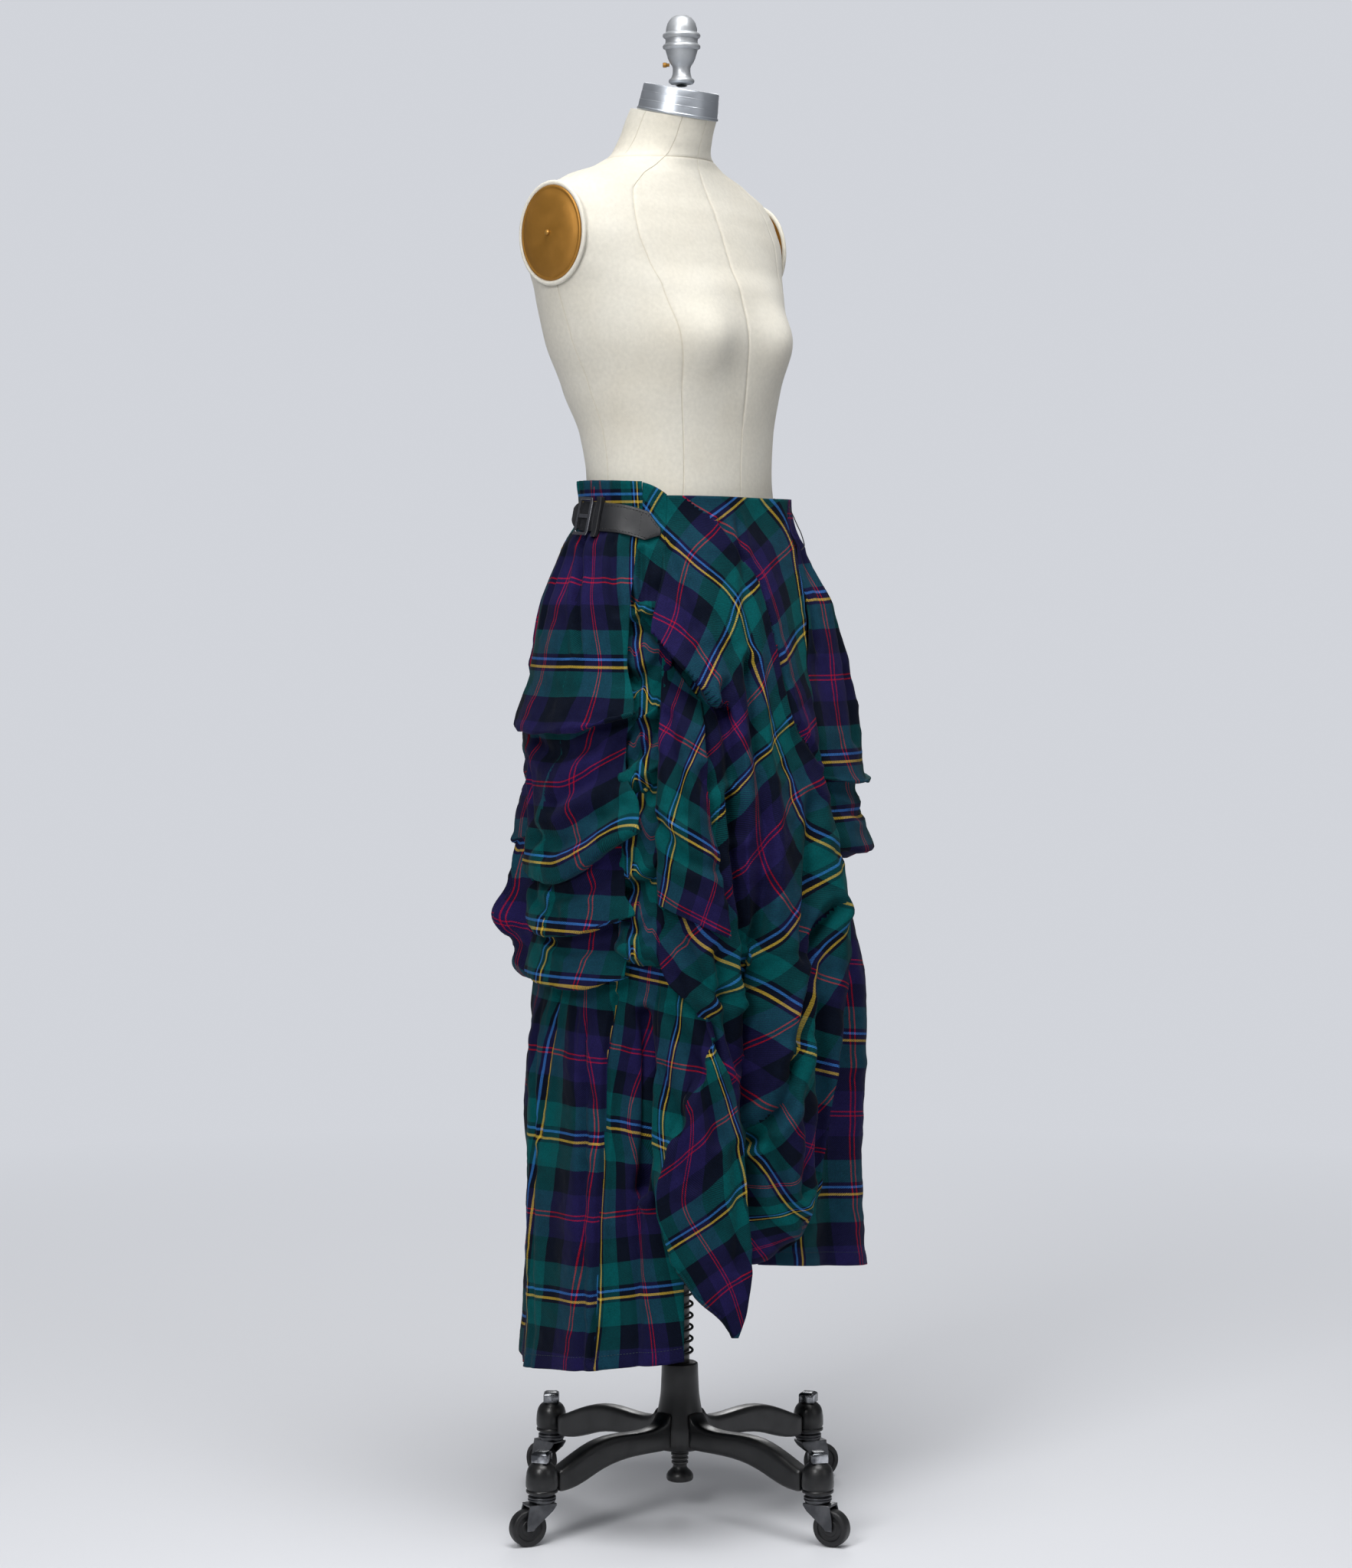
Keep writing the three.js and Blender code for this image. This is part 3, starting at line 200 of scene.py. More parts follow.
def cloth_radius(degrees, z, out):
    """Outer radius of the cloth, which never cuts into the form."""
    return np.maximum(base_radius(degrees, z) + out, form_radius(degrees, z) + WALL + 0.5)


# ---------------------------------------------------------------- the skirt's seams
RIGHT_FRONT_SEAM = 213
LEFT_BACK_SEAM = 345
LEG_BACK_SEAM = 140

# Seams that wander: height, then direction.
RIGHT_BACK_SEAM = [(1232, 146), (1000, 146), (900, 149), (830, 154), (720, 156), (650, 154)]
LEFT_FRONT_SEAM = [
    (1215, 302),
    (1150, 298),
    (1084, 290),
    (1010, 283),
    (906, 281),
    (810, 284),
    (703, 286),
    (605, 281),
    (490, 276),
    (402, 272),
    (364, 267),
    (330, 264),
]
SIDE_RIGHT_EDGE = [
    (1232, 201),
    (1020, 201),
    (976, 204.5),
    (956, 204),
    (940, 201),
    (895, 201.5),
    (862, 207),
    (834, 207),
    (815, 202),
    (760, 202),
    (738, 206),
    (715, 203),
    (650, 202),
]
FRONT_RIGHT_EDGE = [
    (1215, 213),
    (1130, 212.6),
    (1080, 210),
    (1056, 210),
    (1035, 214),
    (900, 213),
    (690, 213),
    (660, 216),
    (625, 225),
    (590, 228),
    (450, 226),
    (330, 224),
]
COWL_EDGE = [(1034, 229), (955, 228), (870, 229.5), (805, 232.5), (705, 235)]
TAIL_BACK_EDGE = [
    (690, 213),
    (600, 213),
    (480, 211),
    (400, 213),
    (340, 217),
    (300, 224),
    (262, 234),
    (248, 236),
]
TAIL_FRONT_EDGE = [(690, 224), (600, 230), (540, 236), (460, 239), (330, 242), (280, 241), (248, 238)]

# Each panel's rows are its folds: height at the left edge, the middle and the right edge,
# then the distance outside the plain shape at the same three places.
SIDE_RIGHT = {
    "start": RIGHT_BACK_SEAM,
    "end": SIDE_RIGHT_EDGE,
    "rows": [
        (1232, 1232, 1230, 2, 2, 2),
        (1214, 1214, 1213, 0, 0, 0),
        (1190, 1190, 1190, -1, -1, -1),
        (1166, 1166, 1166, 0, 0, 0),
        (1100, 1095, 1100, 1, 4, 0),
        (1010, 1000, 1012, 2, 6, 1),
        (960, 952, 974, 14, 15, 10),
        (946, 941, 962, 16, 17, 14),
        (949, 943, 962, 2, 2, -5),
        (935, 928, 950, -3, -3, -8),
        (890, 880, 905, 0, 7, -4),
        (825, 805, 862, 4, 14, 4),
        (791, 774, 836, 8, 17, 11),
        (789, 773, 835, -4, 3, -9),
        (780, 766, 822, -7, -2, -11),
        (752, 738, 775, 0, 8, -6),
        (723, 710, 736, 4, 13, 7),
        (722, 709, 733, -7, 0, -11),
        (712, 700, 722, -9, -4, -12),
        (685, 676, 690, -2, 4, -6),
        (659, 649, 661, 2, 10, 2),
        (658, 648, 660, -9, -4, -11),
        (657, 648, 659, -14, -12, -15),
    ],
}
RUCHE_RIGHT = {
    "start": [(1218, 200.9), (1150, 200.9), (1080, 197.5), (700, 197), (673, 198)],
    "end": [(1218, 213.1), (1130, 213.1), (1060, 216), (700, 216), (673, 214)],
    "rows": [
        (1229, 1224, 1215, 1, 1, 1),
        (1190, 1190, 1190, -1, -1, -1),
        (1150, 1150, 1150, 1, 1, 1),
        (1100, 1100, 1100, 0, 3, 2),
        (1076, 1078, 1080, 0, 7, 2),
        (1064, 1064, 1066, -12, -14, -10),
        (1040, 1040, 1040, -2, 6, 0),
        (1000, 1000, 1000, -4, 4, -2),
        (952, 960, 980, 5, 12, 3),
        (934, 944, 966, -8, -4, -8),
        (914, 918, 932, -6, 4, -4),
        (884, 894, 914, 3, 13, 2),
        (864, 876, 900, -12, -8, -10),
        (850, 850, 850, -5, 5, -4),
        (800, 804, 822, -4, 8, -3),
        (778, 784, 806, 2, 14, 2),
        (762, 770, 792, -14, -10, -12),
        (745, 745, 745, -7, 4, -6),
        (700, 700, 700, -5, 9, -4),
        (688, 684, 688, -7, 7, -6),
        (676, 673, 676, -16, -14, -15),
    ],
}
FRONT_PANEL = {
    "start": FRONT_RIGHT_EDGE,
    "end": LEFT_FRONT_SEAM,
    "rows": [
        (1214, 1213, 1211, 0, 0, 2),
        (1190, 1190, 1190, -1, -1, 0),
        (1150, 1150, 1150, 1, 1, 1),
        (1090, 1090, 1090, 1, 3, 0),
        (970, 970, 970, -5, 5, 0),
        (906, 906, 906, -8, 6, 2),
        (810, 810, 810, -10, 8, 8),
        (703, 703, 703, -10, 4, 8),
        (605, 605, 605, -4, 3, 7),
        (500, 490, 490, -2, 6, 6),
        (420, 402, 410, -1, 8, 5),
        (370, 346, 372, 0, 3, 2),
        (352, 330, 352, 0, -7, -8),
        (362, 342, 362, 0, -15, -15),
    ],
}
FRONT_COWL = {
    "start": RIGHT_FRONT_SEAM - 0.15,
    "end": COWL_EDGE,
    "rows": [
        (1034, 1006, 978, -16, -13, -8),
        (1005, 984, 960, -8, 0, 3),
        (975, 962, 945, -1, 12, 11),
        (925, 922, 918, 3, 18, 15),
        (860, 860, 866, 2, 20, 17),
        (800, 800, 805, 2, 20, 18),
        (762, 755, 752, 2, 20, 20),
        (748, 730, 709, 1, 18, 20),
    ],
}
FRONT_TAIL = {
    "start": TAIL_BACK_EDGE,
    "end": TAIL_FRONT_EDGE,
    "rows": [
        (700, 700, 700, -12, -8, -10),
        (650, 650, 650, -6, 2, -2),
        (600, 600, 600, 5, 16, 11),
        (500, 500, 500, 9, 20, 17),
        (410, 410, 410, 8, 20, 18),
        (340, 340, 340, 6, 17, 17),
        (290, 290, 290, 8, 14, 15),
        (250, 250, 250, 10, 12, 13),
    ],
}
LEG_RIGHT = {
    "start": LEG_BACK_SEAM,
    "end": 221.6,
    "rows": [
        (690, 690, 690, -17, -17, -20),
        (645, 642, 645, -17, -17, -20),
        (590, 590, 590, -9, -7, -20),
        (500, 500, 500, -3, -2, -18),
        (400, 400, 400, -2, 0, -16),
        (290, 300, 310, 0, 0, -10),
        (187, 203, 223, 2, 1, -3),
    ],
}
SIDE_LEFT = {
    "start": LEFT_FRONT_SEAM,
    "end": LEFT_BACK_SEAM,
    "rows": [
        (1211, 1213, 1215, 2, 0, 0),
        (1190, 1190, 1190, 0, -1, 0),
        (1150, 1150, 1150, 1, 0, 0),
        (1084, 1084, 1084, 0, 3, 0),
        (1010, 1005, 1010, -2, 5, 2),
        (906, 896, 912, -8, 10, 6),
        (887, 878, 896, -8, 17, 11),
        (889, 880, 897, -14, 3, -1),
        (872, 866, 885, -16, 0, -3),
        (830, 822, 850, -10, 12, 6),
        (811, 798, 836, -10, 18, 11),
        (808, 797, 836, -15, 5, 0),
        (803, 792, 822, -19, -6, -6),
        (798, 788, 800, -17, -13, -12),
    ],
}
LEG_LEFT = {
    "start": 251,
    "end": LEFT_BACK_SEAM,
    "rows": [
        (815, 815, 815, -26, -24, -21),
        (760, 760, 760, -26, -22, -20),
        (640, 640, 640, -16, -2, -19),
        (500, 500, 500, -12, -2, -6),
        (400, 395, 390, -10, 0, -3),
        (325, 305, 280, -10, 2, -2),
    ],
}
BACK_PANEL = {
    "start": LEFT_BACK_SEAM - 363,
    "end": [(z, turn + 3) for z, turn in RIGHT_BACK_SEAM],
    "rows": [
        (1215, 1222, 1232, 0, 0, 2),
        (1190, 1190, 1190, 0, -1, -1),
        (1150, 1150, 1150, 0, 1, 0),
        (1060, 1050, 1060, 0, 4, 2),
        (900, 880, 890, 2, 8, -5),
        (838, 800, 832, 6, 16, -4),
        (830, 792, 822, 5, 15, -4),
        (829, 792, 820, -2, 6, -9),
        (812, 775, 800, -4, 3, -9),
        (760, 730, 745, 2, 12, -6),
        (728, 700, 712, 1, 11, -6),
        (726, 697, 704, -6, 3, -9),
        (715, 685, 690, -9, 0, -10),
        (690, 668, 662, -2, 6, -8),
        (688, 665, 650, -8, -2, -12),
        (688, 665, 650, -14, -12, -15),
    ],
}
BACK_LOWER = {
    "start": LEFT_BACK_SEAM - 360,
    "end": LEG_BACK_SEAM + 5,
    "rows": [
        (720, 700, 690, -20, -18, -21),
        (640, 640, 640, -18, -16, -22),
        (520, 500, 500, -4, -3, -8),
        (390, 370, 340, -3, -2, -6),
        (279, 238, 190, -2, 0, -4),
    ],
}



# ---------------------------------------------------------------- gathers and pleats
def side_right_gathers(u, z, degrees):
    """Small gathers at the paper-bag top and under the strap, and one dart."""
    top = 2.2 * np.cos(u * np.pi * 16) * smoothstep(1208, 1230, z)
    below = 1.8 * np.cos(u * np.pi * 10) * smoothstep(1040, 1130, z) * smoothstep(1168, 1140, z)
    dart = -5 * np.exp(-(((u - 0.62) / 0.07) ** 2)) * smoothstep(1150, 1120, z) * smoothstep(985, 1060, z)
    return top + below + dart


# The front folds over in a lip that slants down from the right seam: height at the seam, fall for each
# degree, how far it stands out, how far it tucks in below, its reach upwards and where it ends.
LIP_Z, LIP_SLOPE, LIP_OUT, LIP_TUCK, LIP_REACH, LIP_END = 1066, 3.6, 19, 20, 30, 240


def above_lip(degrees, z):
    """Height above the lip's fold, and how much of the lip is left at that direction."""
    return z - (LIP_Z - LIP_SLOPE * (degrees - RIGHT_FRONT_SEAM)), smoothstep(LIP_END, LIP_END - 8, degrees)


def front_lip(degrees, z):
    """The folded lip that the cowl hangs from under."""
    above, left = above_lip(degrees, z)
    hang = LIP_OUT * np.exp(-np.maximum(above, 0) / LIP_REACH)
    under = -LIP_TUCK * smoothstep(-70, -14, above)
    share = smoothstep(-13, 0, above)
    return (hang * share + under * (1 - share)) * left


def lip_droop(degrees, z):
    """How far the lip's edge sags below the line that it is folded from."""
    above, left = above_lip(degrees, z)
    return 21 * np.exp(-np.maximum(above, 0) / 26) * smoothstep(-13, 0, above) * left


def front_folds(u, z, degrees):
    """Long folds that slant down the front, one deep channel and the lip."""
    folds = 11 * np.sin(np.radians(degrees * 13 + (z - 700) * 0.25)) * smoothstep(1000, 700, z)
    channel = (
        -30
        * np.exp(-(((degrees - 245 - (z - 600) * 0.012) / 4) ** 2))
        * smoothstep(760, 640, z)
        * smoothstep(340, 420, z)
    )
    inside = smoothstep(0, 0.12, u) * smoothstep(1, 0.9, u)
    flare = 10 * smoothstep(234, 217, degrees) * smoothstep(760, 690, z) * smoothstep(590, 640, z)
    return (folds + channel) * inside * smoothstep(335, 380, z) + flare + front_lip(degrees, z)


# The upper part of the tail hangs back behind this fold: height and direction, highest first.
TAIL_FOLD = [(600, 230), (583, 229), (548, 226.2), (509, 222.1), (469, 216.7), (439, 214), (410, 211)]
FOLD_SHARE = 0.4


def path_direction(path, z):
    """Direction of a path, given as height and direction with the highest first, at height z."""
    return np.interp(z, [stop[0] for stop in path][::-1], [stop[1] for stop in path][::-1])


def tail_hang(u, z, degrees):
    """The tail's fold, behind which its upper part hangs back in the shade."""
    behind = path_direction(TAIL_FOLD, z) - degrees
    return -12 * smoothstep(-0.8, 1.8, behind) * smoothstep(405, 450, z)


def ruche_recess(u, z, degrees):
    """The ruched strip sits back between its neighbours, which fold over its edges."""
    return -13 * smoothstep(1150, 1060, z) * smoothstep(690, 770, z)


# Direction, depth and width of the long pleats of the right leg panel.
PLEATS = [(187, 9, 1.6), (206, 10, 2.0), (160, 6, 1.8)]


def leg_right_pleats(u, z, degrees):
    """Pressed pleats and slack waves, let out below the tuck."""
    ease = 1 - 0.5 * smoothstep(450, 200, z)
    pleats = sum(-depth * np.exp(-(((degrees - at) / width) ** 2)) for at, depth, width in PLEATS)
    waves = 5 * np.sin(np.radians(degrees * 12))
    return (pleats * ease + waves) * smoothstep(640, 580, z)


def side_left_gathers(u, z, degrees):
    """Gathers under the left waist."""
    return 2.5 * np.cos(u * np.pi * 8) * smoothstep(1212, 1150, z) * smoothstep(900, 1000, z)


def leg_left_waves(u, z, degrees):
    """Slack waves of the left leg panel, which tucks in behind the front."""
    waves = 4.5 * np.sin(np.radians(degrees * 11)) * smoothstep(790, 640, z)
    waves = waves * smoothstep(0.15, 0.4, u) * smoothstep(1, 0.9, u)
    return waves - 16 * smoothstep(0.52, 0.38, u) * smoothstep(760, 640, z)


# Corners where the back bulges out near its right seam: direction, height, distance out and spread.
BULGE = [(139, 835, 9, 26), (140, 780, 16, 30), (141, 720, 34, 26), (143, 668, 12, 20)]


def back_gathers(u, z, degrees):
    """Gathers under the back waist, and the bulge beside the right seam."""
    gathers = 3 * np.cos(u * np.pi * 12) * smoothstep(1212, 1150, z) * smoothstep(860, 1000, z)
    corners = sum(
        out * np.exp(-(((degrees - at) / 9) ** 2) - (((z - height) / spread) ** 2))
        for at, height, out, spread in BULGE
    )
    tucked = smoothstep(0.026, 0.014, u) + smoothstep(0.974, 0.986, u)
    return gathers + corners * smoothstep(1, 0.94, u) - 6 * tucked


def back_lower_waves(u, z, degrees):
    """Slack waves of the lower back panel."""
    waves = 5 * np.sin(np.radians(degrees * 9)) * smoothstep(640, 540, z)
    return waves * smoothstep(0, 0.06, u) * smoothstep(1, 0.94, u)


# ---------------------------------------------------------------- cloth panels
def edge_direction(edge, z):
    """Direction of a panel's edge at height z."""
    if not isinstance(edge, list):
        return np.full(np.shape(z), float(edge))
    return spline_through([stop[1] for stop in edge], place_in([stop[0] for stop in edge], z))


def panel_points(panel, u, at):
    """Direction, height and radius of the panel's outer face."""
    rows = np.array([row[:6] for row in panel["rows"]], float)
    z_left, z_middle, z_right, out_left, out_middle, out_right = [
        spline_through(rows[:, i], at) for i in range(6)
    ]
    z = across(z_left, z_middle, z_right, u)
    out = across(out_left, out_middle, out_right, u)
    start = edge_direction(panel["start"], z) + SEAM_TURN
    end = edge_direction(panel["end"], z) - SEAM_TURN
    degrees = start + (end - start) * u
    if "fold" in panel:
        fold = np.clip(path_direction(panel["fold"], z), start + 0.4, end - 0.4)
        before = start + (fold - start) * u / FOLD_SHARE
        after = fold + (end - fold) * (u - FOLD_SHARE) / (1 - FOLD_SHARE)
        degrees = np.where(u < FOLD_SHARE, before, after)
    if "gathers" in panel:
        out = out + panel["gathers"](u, z, degrees)
    if "droop" in panel:
        z = z - panel["droop"](degrees, z)
    return degrees, z, cloth_radius(degrees, z, out)


# ---------------------------------------------------------------- how the tartan lies on each piece
DEGREE_MM = 3.4


def guide(spots):
    """A smooth surface through spots of direction, height and place in the sett, in millimetres."""
    table = np.array(spots, float)
    at = table[:, :2] * (DEGREE_MM, 1.0) / 100
    count = len(at)
    gap = np.linalg.norm(at[:, None] - at[None], axis=-1)
    plain = np.hstack([np.ones((count, 1)), at])
    bend = gap**2 * np.log(gap + 1e-9) + 0.02 * np.eye(count)
    system = np.block([[bend, plain], [plain.T, np.zeros((3, 3))]])
    weights = np.linalg.solve(system, np.concatenate([table[:, 2], np.zeros(3)]))

    def read(degrees, z):
        """Place in the sett at a direction and height."""
        x = np.asarray(degrees, float) * DEGREE_MM / 100
        y = np.asarray(z, float) / 100
        total = weights[count] + weights[count + 1] * x + weights[count + 2] * y
        for (spot_x, spot_y), weight in zip(at, weights):
            reach = np.hypot(x - spot_x, y - spot_y)
            total = total + weight * reach**2 * np.log(reach + 1e-9)
        return total

    return read


def beyond(path, middle):
    """True where the middle of a face lies past a path given as height and direction, highest first."""
    return middle["degrees"] > path_direction(path, middle["z"])


# Bias front, left of its dart: where the falling stripes and the rising stripes run.
FRONT_FALLING = guide([
    (211, 1173, 95),
    (230, 1131, 95),
    (247, 1091, 95),
    (251, 1041, 95),
    (257, 947, 95),
    (264, 857, 95),
    (287, 795, 95),
    (205, 1086, 0),
    (217, 1067, 0),
    (227, 1038, 0),
    (233, 1002, 0),
    (240, 949, 0),
    (247, 898, 0),
    (258, 736, 0),
    (267, 712, 0),
    (226, 712, -95),
    (242, 671, -95),
    (259, 621, -95),
])
FRONT_RISING = guide([
    (206, 1207, -95),
    (238, 1171, 0),
    (224, 1142, 0),
    (218, 1074, 0),
    (213, 1038, 0),
    (260, 1113, 95),
    (247, 1091, 95),
    (243, 1066, 95),
    (232, 1024, 95),
    (265, 1037, 190),
    (249, 977, 190),
    (240, 949, 190),
    (233, 928, 190),
    (266, 954, 285),
    (258, 936, 285),
    (248, 909, 285),
    (278, 883, 380),
    (262, 864, 380),
    (253, 834, 380),
    (287, 795, 475),
    (262, 742, 475),
    (251, 705, 475),
    (242, 671, 475),
    (259, 621, 570),
    (245, 575, 570),
])
# The dart: height and direction of its seam, and the stripes past it.
FRONT_DART = [(1213, 221), (1182, 242), (1116, 263), (1040, 266), (954, 268), (905, 280)]
DART_FALLING = guide([
    (221, 1211, 190),
    (244, 1182, 190),
    (266, 1124, 190),
    (270, 1051, 190),
    (276, 945, 190),
    (280, 1214, 285),
    (299, 1164, 285),
    (290, 1102, 285),
    (285, 999, 285),
    (282, 901, 285),
])
DART_RISING = guide([
    (263, 1215, -95),
    (232, 1178, -95),
    (292, 1153, 0),
    (266, 1124, 0),
    (285, 1058, 95),
    (265, 1022, 95),
    (276, 945, 190),
    (280, 905, 232),
])
# The balloon's outer fold, and the stripes past it.
FRONT_FOLD = [(780, 290), (735, 278), (700, 270), (640, 263), (588, 260), (520, 255), (482, 245), (330, 238)]
BALLOON_FALLING = guide([
    (270, 663, 0),
    (281, 647, 0),
    (260, 581, -95),
    (279, 546, -95),
    (258, 482, -190),
    (276, 452, -190),
    (245, 482, -285),
    (251, 434, -285),
    (258, 392, -285),
    (267, 377, -285),
])
BALLOON_RISING = guide([
    (287, 732, 665),
    (270, 669, 665),
    (260, 596, 665),
    (277, 521, 760),
    (267, 471, 760),
    (258, 424, 760),
    (264, 364, 950),
    (254, 354, 950),
    (245, 350, 950),
])


def front_stripes(degrees, z, length, middle):
    """Bias stripes of the front, which jump at the dart and at the balloon's outer fold."""
    falling = FRONT_FALLING(degrees, z)
    rising = FRONT_RISING(degrees, z)
    darted = beyond(FRONT_DART, middle) & (middle["z"] > 905)
    falling = np.where(darted, DART_FALLING(degrees, z), falling)
    rising = np.where(darted, DART_RISING(degrees, z), rising)
    folded = beyond(FRONT_FOLD, middle) & (middle["z"] < 780)
    falling = np.where(folded, BALLOON_FALLING(degrees, z), falling)
    rising = np.where(folded, BALLOON_RISING(degrees, z), rising)
    return -falling, rising


COWL_FALLING = guide([
    (212, 953, 0),
    (226, 924, 0),
    (218, 838, -95),
    (232, 804, -95),
    (221, 745, -190),
    (232, 722, -190),
])
COWL_RISING = guide([
    (226, 932, 95),
    (221, 889, 95),
    (218, 838, 95),
    (236, 892, 190),
    (229, 878, 190),
    (231, 790, 190),
    (227, 735, 190),
])


def cowl_stripes(degrees, z, length, middle):
    """Stripes of the cowl, whose rising lines hang almost upright."""
    return -COWL_FALLING(degrees, z), COWL_RISING(degrees, z)


TAIL_FALLING = guide([
    (222, 631, 0),
    (223, 577, 0),
    (221, 407, 0),
    (227, 364, 0),
    (235, 313, 0),
    (229, 581, 95),
    (233, 534, 95),
    (237, 484, 95),
    (240, 437, 95),
])
TAIL_RISING = guide([
    (236, 601, 95),
    (229, 581, 95),
    (241, 526, 190),
    (233, 506, 190),
    (222, 464, 190),
    (240, 426, 285),
    (229, 389, 285),
    (216, 357, 285),
    (242, 326, 380),
    (235, 313, 380),
    (228, 289, 380),
])


def tail_stripes(degrees, z, length, middle):
    """Bias stripes of the tail, and straight ones behind its fold, where it carries on the leg panel's."""
    past = ((middle["u"] > FOLD_SHARE) & (middle["z"] < 597)) | (middle["z"] < 405)
    x = np.where(past, -TAIL_FALLING(degrees, z), LEG_RIGHT_FRONT(degrees, z))
    y = np.where(past, TAIL_RISING(degrees, z), LEG_RIGHT_LEVEL_FRONT(degrees, z))
    return x, y


# Right side: upright red lines either side of the pleat that the dart leaves.
SIDE_RIGHT_PLEAT = [(1232, 175), (1160, 177), (1020, 180), (953, 176), (869, 172), (640, 175)]
SIDE_RIGHT_BACK = guide(
    [(173, 1180, 0), (172, 1111, 0), (166, 1022, 0), (160, 953, 0), (154, 860, 0), (176, 1022, 36)]
)
SIDE_RIGHT_FRONT = guide([
    (181, 1190, 190),
    (186, 1100, 190),
    (192, 1020, 190),
    (190, 956, 190),
    (183, 869, 190),
    (187, 823, 190),
    (191, 735, 190),
    (186, 650, 190),
    (194, 1110, 243),
    (199, 1020, 243),
    (199, 873, 243),
    (203, 735, 243),
    (180, 956, 155),
])


def side_right_stripes(degrees, z, length, middle):
    """Straight stripes of the right side, taken in at the pleat and at every tuck."""
    back = SIDE_RIGHT_BACK(degrees, z)
    front = SIDE_RIGHT_FRONT(degrees, z)
    x = np.where(beyond(SIDE_RIGHT_PLEAT, middle), front, back)
    at = middle["at"]
    drooped = 795 + 46 * smoothstep(178, 206, degrees)
    first = 95 + (1021 - z)
    second = 475 + (drooped - z) * 1.1
    third = 673 + (711 - z)
    fourth = 863 + (648 - z)
    y = np.where(at < 7.6, first, np.where(at < 13.0, second, np.where(at < 17.4, third, fourth)))
    return x, y


# Right leg: an upright pleat hides the stripes between its two sides.
LEG_RIGHT_PLEAT = [(700, 198), (639, 197), (571, 195), (460, 194.4), (389, 193), (190, 191)]
LEG_RIGHT_BACK = guide([
    (173, 651, 95),
    (169, 596, 95),
    (165.5, 522, 95),
    (162, 469, 95),
    (157, 371, 95),
    (155, 283, 95),
    (153, 208, 95),
    (184, 708, 190),
    (185, 637, 190),
    (189, 566, 190),
    (192, 488, 190),
    (190, 441, 190),
    (188, 387, 190),
    (184, 292, 190),
    (180, 215, 190),
])
LEG_RIGHT_FRONT = guide([
    (197, 639, 290),
    (195, 571, 290),
    (194.4, 460, 290),
    (193, 389, 285),
    (191, 217, 285),
    (209, 659, 380),
    (206, 577, 380),
    (202, 491, 380),
    (205, 391, 380),
    (209, 300, 380),
    (212, 226, 380),
])
LEG_RIGHT_LEVEL_BACK = guide([
    (171, 571, 0),
    (194, 566, 0),
    (163.5, 472, 95),
    (193, 474, 95),
    (160, 379, 190),
    (190, 383, 190),
    (155, 283, 285),
    (190, 290, 285),
])
LEG_RIGHT_LEVEL_FRONT = guide([
    (197, 583, 0),
    (212, 570, 0),
    (196, 493, 95),
    (204, 489, 95),
    (215, 474, 95),
    (196, 388, 190),
    (213, 396, 190),
    (194, 295, 285),
    (221, 308, 285),
])


def leg_right_stripes(degrees, z, length, middle):
    """Straight stripes of the right leg panel."""
    front = LEG_RIGHT_FRONT(degrees, z)
    back = LEG_RIGHT_BACK(degrees, z)
    past = beyond(LEG_RIGHT_PLEAT, middle)
    x = np.where(past, front, back)
    y = np.where(past, LEG_RIGHT_LEVEL_FRONT(degrees, z), LEG_RIGHT_LEVEL_BACK(degrees, z))
    return x, y


LEG_LEFT_UPRIGHT = guide([(299, 315, 0), (297, 396, 0), (294, 640, 0), (270, 330, -95), (268, 600, -95)])
LEG_LEFT_LEVEL = guide([
    (299, 666, 0),
    (292, 580, 95),
    (284, 584, 95),
    (294, 488, 190),
    (294, 396, 285),
    (273, 403, 285),
])


def leg_left_stripes(degrees, z, length, middle):
    """Straight stripes of the left leg panel."""
    return LEG_LEFT_UPRIGHT(degrees, z), LEG_LEFT_LEVEL(degrees, z)


SIDE_LEFT_UPRIGHT = guide(
    [(301, 1090, 0), (296, 998, 0), (295, 930, 0), (300, 850, 0), (325, 1000, 95), (328, 850, 95)]
)


def side_left_stripes(degrees, z, length, middle):
    """Straight stripes of the left side, taken in at its tucks."""
    first = 95 + (908 - z)
    second = 285 + (842 - z)
    return SIDE_LEFT_UPRIGHT(degrees, z), np.where(middle["at"] < 6.6, first, second)


# Where the upright pair of stripes runs down the ruched strip: height and direction.
RUCHE_LINE = [
    (1164, 197.5),
    (1110, 199),
    (1045, 203),
    (1020, 205),
    (990, 207),
    (896, 207.4),
    (800, 203),
    (700, 205),
]


def ruche_stripes(degrees, z, length, middle):
    """Stripes of the ruched strip, which carries on the front's at its top and is gathered below."""
    gathered = middle["z"] < 1092
    x = np.where(gathered, 95 + (degrees - path_direction(RUCHE_LINE, z)) * DEGREE_MM * 1.4, -FRONT_FALLING(degrees, z))
    y = np.where(gathered, length * 1.5 + 60, FRONT_RISING(degrees, z))
    return x, y


def plain_stripes(degrees, z, length, middle):
    """Straight stripes on a piece with no marks of its own."""
    return (degrees - 90) * DEGREE_MM, length + 18


def fine_stops(rows, spacing):
    """Row places so close that the cloth's mesh is no coarser than spacing, in millimetres."""
    stops = [0.0]
    for k in range(1, len(rows)):
        rise = max(abs(rows[k][i] - rows[k - 1][i]) for i in (0, 1, 2))
        out = max(abs(rows[k][i] - rows[k - 1][i]) for i in (3, 4, 5))
        steps = max(3, math.ceil(math.hypot(rise, out) / spacing))
        stops += [k - 1 + i / steps for i in range(1, steps + 1)]
    return np.array(stops)


